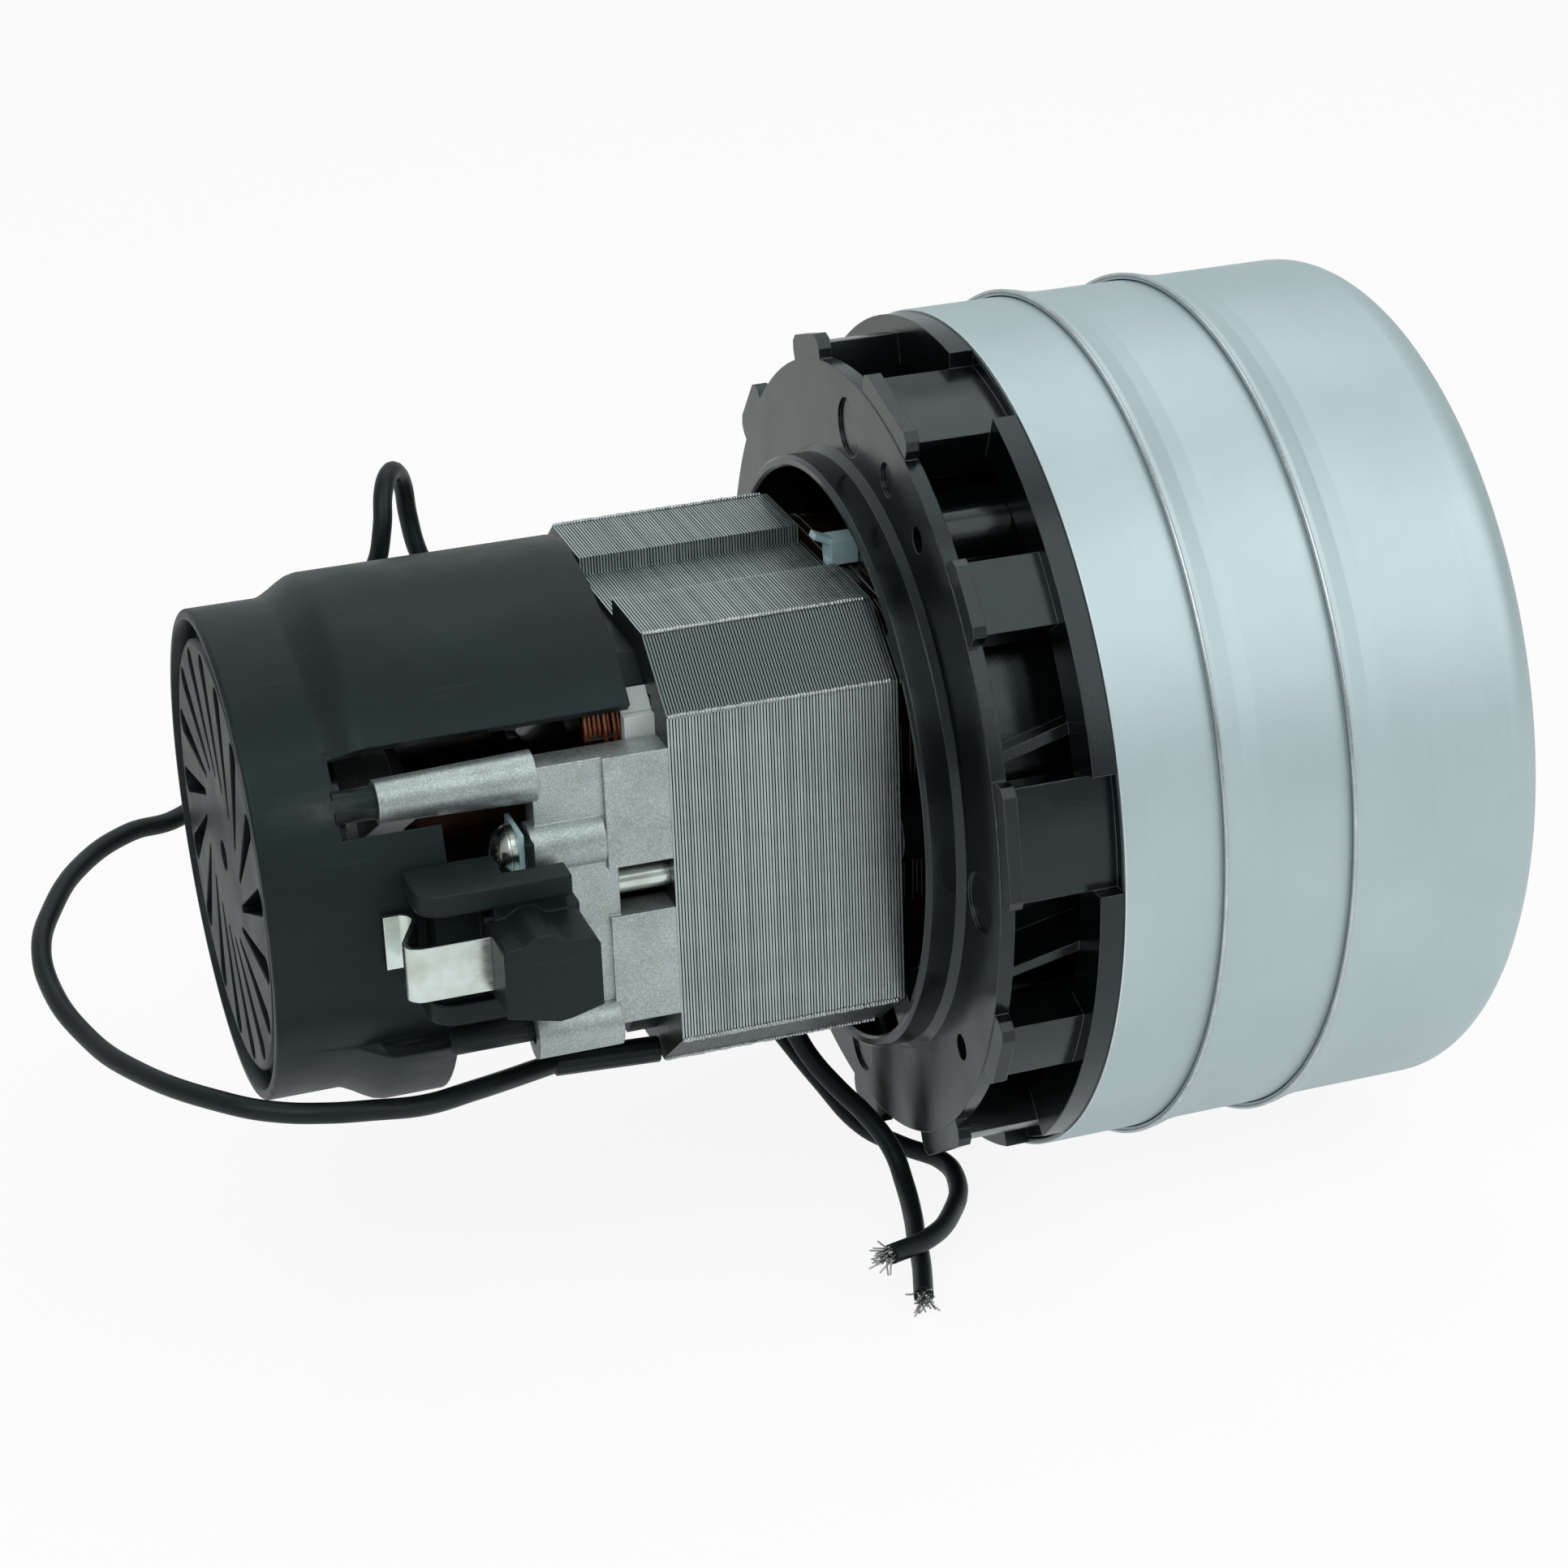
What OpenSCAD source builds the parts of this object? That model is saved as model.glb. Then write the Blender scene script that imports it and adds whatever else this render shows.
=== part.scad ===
// Three-stage by-pass vacuum motor.
// The shaft lies along X, the bore of the inlet eye starts at x = 0 and the motor reaches to -X.
// The brush gear points to -Y and +Y, the skirts of the vent cap to +Z and -Z.

/* [Fan shells] */
// Outside diameter of the shells
shell_d = 144.5; // [140:0.5:150]
// Sheet thickness of the shells
shell_wall = 0.9; // [0.8:0.1:1.1]
// Visible length of the inlet shell
inlet_shell_l = 35.3; // [34:0.1:40]
// Visible length of the middle shell
middle_shell_l = 22.2; // [21:0.1:26]
// Visible length of the base shell
base_shell_l = 16.6; // [16:0.1:20]
// Outer corner radius of the inlet shell
shell_corner = 7; // [4:0.5:9]
// Diameter of the inlet eye
inlet_d = 40; // [34:1:44]
// Depth of the drawn lip around the inlet eye
inlet_lip_l = 6.5; // [5.5:0.5:7.5]

/* [Fan bracket] */
// Axial length of the exhaust windows
window_l = 12; // [11:0.5:15]
// Height of the collar above the flange
collar_l = 5.9; // [5.5:0.1:7]
// Number of posts between the windows
post_count = 11; // [9:1:12]

/* [Motor] */
// Length of the lamination stack
stack_l = 38.4; // [34:0.2:44]
// Width across the flats of the lamination
stack_w = 76; // [75:0.5:79]
// Diameter of the armature as a share of the lamination's width
rotor_share = 0.579; // [0.57:0.001:0.585]
// Diameter of the shaft
shaft_d = 8; // [7.5:0.1:8.2]
// Diameter of the commutator
commutator_d = 28; // [27:0.5:30]

/* [Brush gear] */
// Distance from the stack to the middle of the brushes
brush_reach = 26.5; // [26.5:0.1:28]
// Distance from the shaft to the face of the brush holder
holder_reach = 62; // [60:0.5:64]
// Length of a new carbon brush
brush_l = 26; // [22:1:28]

/* [Vent cap] */
// How far the rim of the vent cap stands out past the flats of the lamination
cap_over = 2.4; // [2.2:0.1:3]
// Distance from the stack to the rim of the vent cap
cap_reach = 65.4; // [65:0.2:69]
// Number of cooling slots in the face
slot_count = 17; // [13:1:19]

/* [Leads] */
// Diameter of the insulated leads
lead_d = 3.4; // [2.8:0.1:3.6]

/* [Hidden] */
$fn = 64;

// Clearances
slip = 0.03;
seat_gap = 0.3;
air_gap = 0.4;

// Stations along the shaft, from the inlet face to the vent cap
lip_l = 2.3;
seat_depth = 0.3;
inlet_round = 1.5;
x_end = inlet_round;
x_seam2 = x_end - inlet_shell_l;
x_seam1 = x_seam2 - middle_shell_l;
x_rim = x_seam1 - base_shell_l;
x_face = x_rim + 1.6;
x_flange = x_rim - window_l - 6.7;
x_collar = x_flange - collar_l;
x_stack_r = x_collar + seat_depth;
x_stack_l = x_stack_r - stack_l;
x_brush = x_stack_l - brush_reach;
x_cap = x_stack_l - cap_reach;
x_hub = x_cap + 18.2;

// Fan shells
shell_r = shell_d / 2;
shell_in = shell_r - shell_wall;
lip_in = shell_r + 0.2;
lip_flat = 1.2;
lip_flare = 6;
inner_corner = 2.2;
inlet_r = inlet_d / 2;
stage_eye_r = 22;
x_floor1 = x_seam1 + lip_l;
x_floor2 = x_seam2 + lip_l;

// Fans and guide plates
fan_r = shell_in - 8;
fan_gap = 2.3;
fan_back = 1.2;
fan_front = 1;
fan_eye_r = 24;
blade_t = 0.9;
blade_count = 7;
x_fan1 = x_face + 4;
x_fan2 = x_floor1 + 8.8;
x_fan3 = x_floor2 + 10.4;
x_eye1 = x_floor1 - shell_wall - fan_gap;
x_eye2 = x_floor2 - shell_wall - fan_gap;
x_eye3 = x_end - inlet_lip_l - 2;
guide_r = shell_in - 5;
guide_t = 1.2;
guide_l1 = 5.3;
guide_l2 = 6.6;
guide_count = 9;
washer_t = 1.5;
washer_r = 13;
sleeve_r = 7;
nut_l = 5;
nut_r = 7;

// Fan bracket
ring_lip_r = shell_r - 0.35;
spigot_r = shell_in - 0.45;
post_out = shell_r - 3.25;
post_in = shell_r - 11.5;
wall_out = shell_r - 1.65;
wall_t = 2.4;
wall_round = 2.4;
wall_side = 0.9;
wall_step = 0.15;
flange_out = shell_r - 5.75;
drum_out = shell_r - 15.75;
drum_wall = 2.5;
flange_t = 2.5;
ring_l = 4.1;
spigot_l = 3.4;
post_step = 360 / post_count;
post_start = 171;
wide_post = 15.5;
narrow_post = 10;
wide_posts = [0, 2, 4, 6, 9];
column_windows = [9, 1, 5];
column_angles = [123.5, 214.5, 350];
column_r = 4.5;
column_hole_r = 2.2;
column_pitch_r = shell_r - 13.2;
vane_tilt = 14;
mark_depth = 0.5;
marks = [[91, 5], [183, 5], [271, 5], [3, 5], [109, 2.8], [289, 2.8]];
mark_pitch_r = shell_r - 14.4;

// Lamination stack
half = stack_w / 2;
flat_h = half - 9.5;
bevel_w = half - 12;
notch_w = 9.5;
notch_depth = 3;
bead_r = 0.8;
collar_in = norm([half, flat_h]) + 1.4;
collar_wall = 2;
collar_foot = 1.2;
rim_break = 0.5;
pole_w = half * 0.395;
window_y = half * 0.774;
window_z = half * 0.758;
shoe_t = 3.6;
shoe_angle = 52;
rotor_r = stack_w * rotor_share / 2;
bore_r = rotor_r + air_gap;

// Field coils
coil_y = window_y - 0.6;
coil_low = 6;
coil_end_l = 11;
coil_end_r = 8.6;
coil_top = half - 6.5;
coil_top_r = half - 2.6;
frame_l = 5;
frame_wall = 2.4;
leg_clear = 0.8;
leg_top = half - 11.5;

// Through bolts
bolt_y = half - 4.5;
bolt_r = 2.2;
bolt_hole_r = 2.5;
bolt_head_r = 4;
bolt_head_l = 3.2;

// Armature
shaft_r = shaft_d / 2;
slot_pitch_r = rotor_r - 4.8;
armature_slots = 12;
winding_r = rotor_r - 2.5;
commutator_r = commutator_d / 2;
commutator_l = 18;
commutator_hub_r = 9;
bar_count = 24;
x_riser = x_brush + commutator_l / 2;

// Ball bearings
bearing_r = 11;
bearing_w = 7;
race_in_r = 5.6;
race_out_r = 9.2;
ball_r = 1.7;
ball_pitch_r = 7.3;
ball_count = 7;
hub_wall = 4;
x_rear_bearing = x_hub + 1;
x_front_bearing = x_flange + 0.8;

// End bracket
foot_t = half - coil_y - frame_wall - leg_clear;
foot_l = 10.7;
foot_top = 23.3;
slot_h = 4.3;
x_plate = x_stack_l - 17.2;
tube_y = half - 3.5;
tube_angle = 31.3;
tube_z = tube_y * tan(tube_angle);
tube_r = 4.15;
tube_tip_r = 3.45;
boss_y = half - 2;
boss_z = 9.5;
boss_r = 4.2;
x_boss = x_stack_l - 23.2;
low_boss_y = half - 1.6;
low_boss_z = 23;
low_boss_r = 4.2;
screw_r = 1.7;
screw_head_r = 4.2;
screw_l = 12;
tab_t = 1.4;
pad_t = 0.8;
disc_t = 1;

// Brush holder
holder_w = 15.1;
holder_h = 12;
holder_back = half + 2.6;
wing_z = 8.2;
wing_t = 3.4;
wing_y = holder_reach - 10;
wing_round = (wing_y - holder_back) * 0.35;
wing_rail = (wing_y - holder_back) * 0.41;
wing_right = 1.35;
wing_cut = 6.9;
block_l = 11.6;
pillar_left = 7;
pillar_y = holder_back + (wing_y - holder_back) * 0.65;
wing_left = 10.2;
low_wing_left = 8.8;
brush_w = 8.2;
brush_h = 6.2;
tube_wall = 0.8;
tube_gap = 0.3;
tube_w = brush_w + 2 * tube_gap + 2 * tube_wall;
tube_h = brush_h + 2 * tube_gap + 2 * tube_wall;
tube_start = commutator_r + 2;
tube_end = holder_reach - 3;
brush_tip = commutator_r + 0.3;
spring_r = 2.3;
spring_wire = 0.4;
spring_turns = 7;
strip_t = 0.8;
strip_h = 9;
strip_lift = 0.2;
strip_y = holder_reach - 8;
strip_tail = 2.2;
tab_bend = 2.2;
main_bend = 2.1;

// Vent cap
cap_r = half + cap_over;
cap_wall = 2.2;
strip_clear = 1;
skirt_r = cap_r + 3.2;
skirt_cone = 7.5;
rim_in = cap_r - 1.5;
face_r = cap_r - 5.6;
face_depth = 3.5;
face_t = 2;
slot_out_r = cap_r - 8.4;
slot_in_r = 14.3;
slot_twist = 24;
slot_wide = 2.3;
slot_thin = 0.65;
slot_side = 0.97;
face_hole_r = 2.65;
x_cap_edge = x_cap + 28.8;
x_skirt = x_cap + 11.7;
top_skirt_l = 49.5;
low_skirt_l = 16.9;
top_skirt_half = 48;
low_skirt_half = 49;
low_skirt_front = 59.5;
low_post_r = 2.4;
notch_to = 156;
x_wall_end = x_cap + 13.2;
post_pin_r = 2.6;

// Leads: routes given from the stack's left face
sleeve_out_r = 2.2;
lead_sides = 8;
tip_l = 4;
tip_r = 1.3;
sleeve_path = [[-18, -24, -36], [-0.4, -24, -37]];
long_route = [
    [-18, -24, -36], [-35.5, -38.5, -30], [-44.5, -43.5, -28], [-53, -45.5, -26], [-60, -45.5, -25],
    [-67.5, -43, -24.5], [-74, -38.5, -24], [-86.5, -21, -24], [-91.5, -8, -23.5], [-94.5, 4, -21],
    [-94.5, 14, -18], [-91, 24, -16], [-84, 36, -14.5], [-74, 46, -14.5], [-64.5, 52, -16],
    [-54, 56, -12], [-44, 57, -1], [-38, 56.5, 10], [-31, 51.5, 20], [-26.7, 46.6, 27.5],
    [-24.9, 46.5, 34.5], [-23.6, 49.5, 39.6], [-21.9, 52.6, 41.4], [-20, 55.8, 40.8], [-18.2, 58.6, 37],
    [-17.6, 59, 31.2], [-16.6, 57, 24.5], [-11, 54.5, 12], [3, 52, -16], [12, 47, -31],
    [22, 37, -45], [31, 22, -57], [37.8, 7, -67], [42, -4, -71.7], [46.5, -11.5, -72.5],
    [51.2, -19.5, -72.4], [50.8, -27.5, -72], [45.3, -39.2, -70.5], [37.5, -49.1, -68], [29, -54.1, -66.3]
];
short_route = [
    [-4, 0, -36.2], [3, 0, -37.4], [12, 0, -37.4], [21, 0, -38.2], [27, 0, -44],
    [30.5, -1, -51], [32.8, -4, -56], [35.7, -9, -59.8], [39, -16, -63], [41, -22, -66.5],
    [41, -28, -70], [39.5, -36, -71.6], [37.5, -43, -71.6], [35.7, -50, -71.6], [32.4, -60, -71.6]
];

// Helper shapes: everything round is turned about X

// A cylinder from x0 to x1 beside the shaft
module rod(x0, x1, r, y = 0, z = 0)
    translate([x0, y, z])
        rotate([0, 90, 0])
            cylinder(r = r, h = x1 - x0);

// A plain ring from x0 to x1
module pipe(x0, x1, ro, ri)
    difference() {
        rod(x0, x1, ro);
        rod(x0 - 1, x1 + 1, ri);
    }

// A box given by its limits
module block(x0, x1, y0, y1, z0, z1)
    translate([x0, y0, z0])
        cube([x1 - x0, y1 - y0, z1 - z0]);

// A flat outline in Y and Z, drawn out from x0 to x1
module slab(x0, x1)
    translate([x0, 0, 0])
        rotate([90, 0, 90])
            linear_extrude(x1 - x0)
                children();

// A profile of radius and x, turned about the shaft
module turned()
    rotate([0, 90, 0])
        rotate_extrude()
            children();

// A profile of radius and x, turned from angle a0 to a1, counted from +Y to +Z
module turned_arc(a0, a1)
    rotate([a0, 0, 0])
        rotate([0, 90, 0])
            rotate([0, 0, 90])
                rotate_extrude(angle = a1 - a0)
                    children();

// A part of a ring
module ring_part(x0, x1, ri, ro, a0, a1)
    turned_arc(a0, a1)
        translate([ri, x0])
            square([ro - ri, x1 - x0]);

// The same shape on both sides of the shaft
module both_sides() {
    children();
    rotate([180, 0, 0])
        children();
}

// A round body of radius r from x0 to x1 with a rounded edge at x1
module drum_profile(r, x0, x1, c) {
    translate([0, x0])
        square([r - c, x1 - x0]);
    translate([0, x0])
        square([r, x1 - x0 - c]);
    translate([r - c, x1 - c])
        circle(c);
}

// Vent cap

// One cooling slot: a round wide end outside, a narrow end inside, turned by the twist
module cooling_slot(a) {
    outer = slot_out_r * [cos(a), sin(a)];
    inner = slot_in_r * [cos(a + slot_twist), sin(a + slot_twist)];
    u = (inner - outer) / norm(inner - outer);
    n = slot_side * [-u[1], u[0]];
    translate(outer)
        circle(slot_wide);
    translate(inner)
        circle(slot_thin);
    polygon([outer + slot_wide * n, inner + slot_thin * n, inner - slot_thin * n, outer - slot_wide * n]);
}

module cap_profile() {
    x_disc = x_cap + face_depth;
    edge = (cap_r - rim_in) / 2;
    polygon([
        [cap_r, x_cap_edge], [cap_r, x_cap + edge], [cap_r - edge, x_cap], [rim_in, x_cap],
        [face_r, x_disc], [0, x_disc], [0, x_disc + face_t], [face_r - 1, x_disc + face_t],
        [cap_r - cap_wall, x_disc + face_t + 3], [cap_r - cap_wall, x_cap_edge]
    ]);
    translate([cap_r - edge, x_cap + edge])
        circle(edge);
}

// A skirt flares out of the wall and runs on to the stack
module skirt_profile(l) {
    root = x_skirt - 0.9;
    rise = skirt_r - cap_r;
    shoulder = [
        for (t = [0.2, 0.4, 0.6, 0.8, 1])
            [cap_r + rise * t * t * (3 - 2 * t), x_skirt + skirt_cone * t]
    ];
    polygon(concat(
        [[cap_r - cap_wall + 0.5, root], [cap_r - 0.5, root]], shoulder,
        [[skirt_r, x_skirt + l], [skirt_r - cap_wall, x_skirt + l]],
        [[skirt_r - cap_wall, x_skirt + skirt_cone + 1]]
    ));
}

module vent_cap() {
    top = [90 - top_skirt_half, 90 + top_skirt_half];
    low = [270 - low_skirt_front, 270 + low_skirt_half];
    low_post = (skirt_r - 2) * unit([low_boss_y, low_boss_z]);
    color("#26282a")
        difference() {
            union() {
                difference() {
                    turned()
                        cap_profile();
                    ring_part(x_wall_end, x_cap_edge + 1, cap_r - 6, cap_r + 1, top[0], notch_to);
                    ring_part(x_wall_end, x_cap_edge + 1, cap_r - 6, cap_r + 1, low[0], notch_to + 180);
                }
                turned_arc(top[0], top[1])
                    skirt_profile(top_skirt_l);
                turned_arc(low[0], low[1])
                    skirt_profile(low_skirt_l);
                both_sides()
                    rod(x_wall_end - 0.6, x_rear_bearing, post_pin_r, -tube_y, tube_z);
                rod(x_skirt + low_skirt_l - 1, x_boss - 1, low_post_r, -low_post[0], -low_post[1]);
            }
            slab(x_cap - 1, x_cap + face_depth + face_t + 1) {
                for (i = [0 : slot_count - 1])
                    cooling_slot(i * 360 / slot_count);
                circle(face_hole_r);
            }
        }
}

// End bracket

module bracket_side() {
    block(x_stack_l - foot_l, x_stack_l, -half, -half + foot_t, slot_h, foot_top);
    block(x_stack_l - foot_l, x_stack_l, -half, -half + foot_t, -foot_top, -slot_h);
    block(x_plate, x_stack_l - foot_l + 1.8, -half + 0.8, -half + foot_t, -foot_top, foot_top);
    block(x_boss + 1.2, x_plate + 1, -half + 0.8, -half + foot_t, boss_z, foot_top);
    translate([x_rear_bearing, -tube_y, tube_z])
        rotate([0, 90, 0])
            cylinder(r1 = tube_tip_r, r2 = tube_r, h = x_boss + 2 - x_rear_bearing);
    rod(x_boss, x_plate + 6, boss_r, -boss_y, boss_z);
    rod(x_boss - 1, x_plate + 7, low_boss_r, -low_boss_y, -low_boss_z);
    rib_angle = atan2(tube_z, -tube_y);
    rotate([rib_angle, 0, 0])
        block(x_hub + 2, x_hub + 8, bearing_r + 2, norm([tube_y, tube_z]), -3, 3);
}

module end_bracket() {
    color("#a9abab")
        difference() {
            union() {
                rod(x_hub, x_hub + 9.5, bearing_r + hub_wall);
                both_sides()
                    bracket_side();
            }
            rod(x_hub - 1, x_hub + 8, bearing_r + slip);
            rod(x_hub - 1, x_hub + 11, bearing_r - 2);
            both_sides() {
                rod(x_plate - 1, x_stack_l + 1, bolt_hole_r, -bolt_y);
                rod(x_boss - 1, x_boss + 11, screw_r, -boss_y, boss_z);
                rod(x_boss - 2, x_boss + 7, screw_r, -low_boss_y, -low_boss_z);
            }
        }
}

// Pan head with a cross recess, its underside at x = 0 and its shank to +X
module pan_screw(l) {
    head_l = 2.8;
    dome_r = 4.8;
    difference() {
        intersection() {
            rod(-head_l, 0, screw_head_r);
            translate([dome_r - head_l, 0, 0])
                sphere(dome_r);
        }
        for (a = [0, 90])
            rotate([a, 0, 0])
                block(-head_l - 1, -head_l + 1.5, -2, 2, -0.5, 0.5);
    }
    rod(-0.1, l, screw_r);
}

module bracket_screws()
    color("#c9d2d6")
        both_sides()
            translate([x_boss - tab_t - pad_t - disc_t, -boss_y, boss_z])
                rotate([20, 0, 0])
                    pan_screw(screw_l);

module bracket_washers()
    color("#bcc5c9")
        both_sides()
            translate([x_boss - tab_t - pad_t, -boss_y, boss_z])
                pipe(-disc_t, 0, screw_head_r + 0.2, screw_r + 0.2);

module insulating_tabs()
    color("#cfd6d6")
        both_sides()
            difference() {
                union() {
                    block(x_boss - tab_t - pad_t, x_boss - tab_t, -boss_y - 4.4, -boss_y + 4.4,
                        boss_z - boss_r - 0.4, boss_z + 4.4);
                    block(x_boss - tab_t - pad_t - 4.6, x_boss - tab_t, -wing_y + wing_rail + 0.6,
                        -boss_y - 4.2, holder_h / 2, holder_h / 2 + pad_t);
                }
                rod(x_boss - 10, x_boss, screw_r + 0.2, -boss_y, boss_z);
            }

// Brush gear, drawn on the -Y side

module plate_round(x0, x1, y0, y1, z0, z1, r) {
    block(x0 + r, x1, y0, y1, z0, z1);
    block(x0, x1, y0 + r, y1, z0, z1);
    translate([x0 + r, y0 + r, z0])
        cylinder(r = r, h = z1 - z0);
}

module brush_holder() {
    x0 = x_brush - holder_w / 2;
    x1 = x_brush + holder_w / 2;
    x_cut = x_boss - wing_cut;
    h = holder_h / 2;
    difference() {
        union() {
            block(x0, x1, -holder_reach + block_l, -holder_back, -h, h);
            translate([0, -holder_reach + block_l, 0])
                rotate([90, 0, 0])
                    linear_extrude(block_l)
                        polygon([
                            [x0, 0.3 - h], [x_brush + 0.5, -h - 1.6], [x_brush + 2.4, -h - 1.4], [x1, -h],
                            [x1, h - 1.6], [x1 - 0.8, h - 0.4], [x_brush + 2, h - 0.4], [x_brush, h + 1.1],
                            [x_brush - 2.2, h + 1.1], [x_brush - 4.4, h - 0.2], [x0 + 0.4, h - 0.5],
                            [x0, h - 1]
                        ]);
            plate_round(x0 - wing_left, x_cut, -wing_y, -holder_back, wing_z, wing_z + wing_t, wing_round);
            block(x_cut - 1, x1 - wing_right, -wing_y, -wing_y + wing_rail, wing_z, wing_z + wing_t);
            block(x0 + 1.5, x1 - 2, -wing_y + wing_rail * 0.2, -wing_y + wing_rail * 0.75,
                h - 1, wing_z + 1);
            block(x0 - pillar_left, x0 + 1, -pillar_y, -holder_back, -wing_z - 1, wing_z + 1);
            plate_round(x0 - low_wing_left, x1, -wing_y + 2, -holder_back - 0.2, -wing_z - wing_t, -wing_z,
                wing_round);
            block(x0 + 0.5, x1 - 2, -pillar_y, -holder_back, -wing_z - 1, 0);
            block(x0 + 1, x1 - 1, -holder_back - 1, -half - 0.6, -wing_z, boss_z - boss_r - 0.4);
            block(x_boss - tab_t, x_boss, -holder_back - 0.6, -boss_y + 3, boss_z - 6.5, boss_z + 3);
        }
        block(x_brush - tube_w / 2, x_brush + tube_w / 2, -tube_end, 0, -tube_h / 2, tube_h / 2);
        rod(x_boss - 10, x_boss + 1, screw_r + 0.2, -boss_y, boss_z);
    }
}

module brush_tube()
    difference() {
        block(x_brush - tube_w / 2, x_brush + tube_w / 2, -tube_end, -tube_start, -tube_h / 2, tube_h / 2);
        block(x_brush - tube_w / 2 + tube_wall, x_brush + tube_w / 2 - tube_wall, -tube_end + 1,
            0, -tube_h / 2 + tube_wall, tube_h / 2 - tube_wall);
    }

module carbon_brush()
    difference() {
        block(x_brush - brush_w / 2, x_brush + brush_w / 2, -brush_tip - brush_l, 0,
            -brush_h / 2, brush_h / 2);
        rod(x_brush - brush_w, x_brush + brush_w, brush_tip);
    }

module brush_spring() {
    from = brush_tip + brush_l + spring_wire;
    room = tube_end - 1 - spring_wire - from;
    for (i = [0 : spring_turns - 1])
        translate([x_brush, -from - i * room / (spring_turns - 1), 0])
            rotate([90, 0, 0])
                rotate_extrude()
                    translate([spring_r, 0])
                        circle(spring_wire, $fn = 16);
}

// Points round a bend, in X and Y
function bend_path(c, r, a0, a1) =
    [for (k = [0 : 12]) c + r * [cos(a0 + (a1 - a0) * k / 12), sin(a0 + (a1 - a0) * k / 12)]];
function across(p, i) = let(d = heading(p, i)) [-d[1], d[0]];

// S-shaped connecting strip beside the holder
module brush_terminal() {
    x_side = x_brush - holder_w / 2;
    y_tab = -cap_r - strip_clear;
    tab = [x_side - 11.65, y_tab - tab_bend];
    main = [x_side - 10.75, main_bend - strip_y];
    path = concat(
        [[tab[0] - strip_tail, y_tab]], bend_path(tab, tab_bend, 90, -24),
        bend_path(main, main_bend, 156, 270), [[x_side, -strip_y]]
    );
    last = len(path) - 1;
    near = [for (i = [0 : last]) path[i] + strip_t / 2 * across(path, i)];
    far = [for (i = [last : -1 : 0]) path[i] - strip_t / 2 * across(path, i)];
    translate([0, 0, strip_lift - strip_h / 2])
        linear_extrude(strip_h)
            polygon(concat(near, far));
}

module brush_holder_front()
    color("#1e2022")
        brush_holder();

module brush_holder_rear()
    color("#1e2022")
        rotate([180, 0, 0])
            brush_holder();

module brush_tube_front()
    color("#c29a4a")
        brush_tube();

module brush_tube_rear()
    color("#c29a4a")
        rotate([180, 0, 0])
            brush_tube();

module brush_terminal_front()
    color("#c6cdc8")
        brush_terminal();

module brush_terminal_rear()
    color("#c6cdc8")
        rotate([180, 0, 0])
            brush_terminal();

module brush_spring_front()
    color("#b9bdc0")
        brush_spring();

module brush_spring_rear()
    color("#b9bdc0")
        rotate([180, 0, 0])
            brush_spring();

module carbon_brush_front()
    color("#3a3a3c")
        carbon_brush();

module carbon_brush_rear()
    color("#3a3a3c")
        rotate([180, 0, 0])
            carbon_brush();

// Stator

module stack_outline() {
    top = [
        [half, flat_h], [bevel_w, half], [notch_w, half], [notch_w, half - notch_depth],
        [-notch_w, half - notch_depth], [-notch_w, half], [-bevel_w, half], [-half, flat_h]
    ];
    polygon(concat(top, [for (p = top) -p]));
}

// The two poles with their curved shoes
module poles() {
    square([2 * pole_w, 2 * window_z + 2], center = true);
    for (a = [0, 180])
        rotate(a)
            intersection() {
                circle(bore_r + shoe_t);
                polygon([[0, 0], 60 * [sin(shoe_angle), cos(shoe_angle)], [0, 90],
                    60 * [-sin(shoe_angle), cos(shoe_angle)]]);
            }
}

module stator_core() {
    color("#7d8386") {
        difference() {
            slab(x_stack_l, x_stack_r)
                difference() {
                    stack_outline();
                    difference() {
                        square([2 * window_y, 2 * window_z], center = true);
                        poles();
                    }
                    circle(bore_r);
                }
            both_sides()
                rod(x_stack_l - 1, x_stack_r + 1, bolt_hole_r, -bolt_y);
        }
        for (p = [[half, flat_h], [bevel_w, half], [-bevel_w, half], [-half, flat_h]])
            both_sides()
                rod(x_stack_l, x_collar - 1, bead_r, p[0], p[1]);
    }
}

module coil_envelope(grow, top) {
    y = coil_y + grow;
    z = top + grow;
    polygon([[y, coil_low], [y, z - 9], [y - 9, z], [9 - y, z], [-y, z - 9], [-y, coil_low]]);
}

// One field coil: two bars through the stack and a round turn at each end
module field_coil() {
    low = bore_r + shoe_t + 0.9;
    slab(x_stack_l, x_stack_r)
        for (m = [0, 1])
            mirror([m, 0])
                difference() {
                    translate([pole_w + 0.6, coil_low])
                        square([coil_y - pole_w - 0.6, window_z - 0.6 - coil_low]);
                    circle(low);
                }
    slab(x_stack_l - coil_end_l, x_stack_l)
        difference() {
            coil_envelope(0, coil_top);
            circle(low);
        }
    slab(x_stack_r, x_stack_r + coil_end_r)
        difference() {
            coil_envelope(0, coil_top_r);
            circle(low);
        }
}

// White legs that keep a coil's left turn off the sides of the stack
module coil_insulator()
    slab(x_stack_l - frame_l, x_stack_l)
        for (m = [0, 1])
            mirror([m, 0])
                translate([coil_y + seat_gap, coil_low])
                    square([frame_wall - seat_gap, leg_top - coil_low]);

// Black former over the coil's left turn, between the two legs
module coil_former()
    slab(x_stack_l - frame_l, x_stack_l)
        intersection() {
            difference() {
                coil_envelope(frame_wall, coil_top);
                translate([0, -1])
                    coil_envelope(seat_gap, coil_top + 1);
            }
            translate([-half, leg_top + slip])
                square([stack_w, half]);
        }

module field_coil_top()
    color("#a2562c")
        field_coil();

module field_coil_bottom()
    color("#a2562c")
        rotate([180, 0, 0])
            field_coil();

module coil_insulator_top()
    color("#dfe3e0")
        coil_insulator();

module coil_insulator_bottom()
    color("#dfe3e0")
        rotate([180, 0, 0])
            coil_insulator();

module coil_former_top()
    color("#1e2022")
        coil_former();

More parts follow.
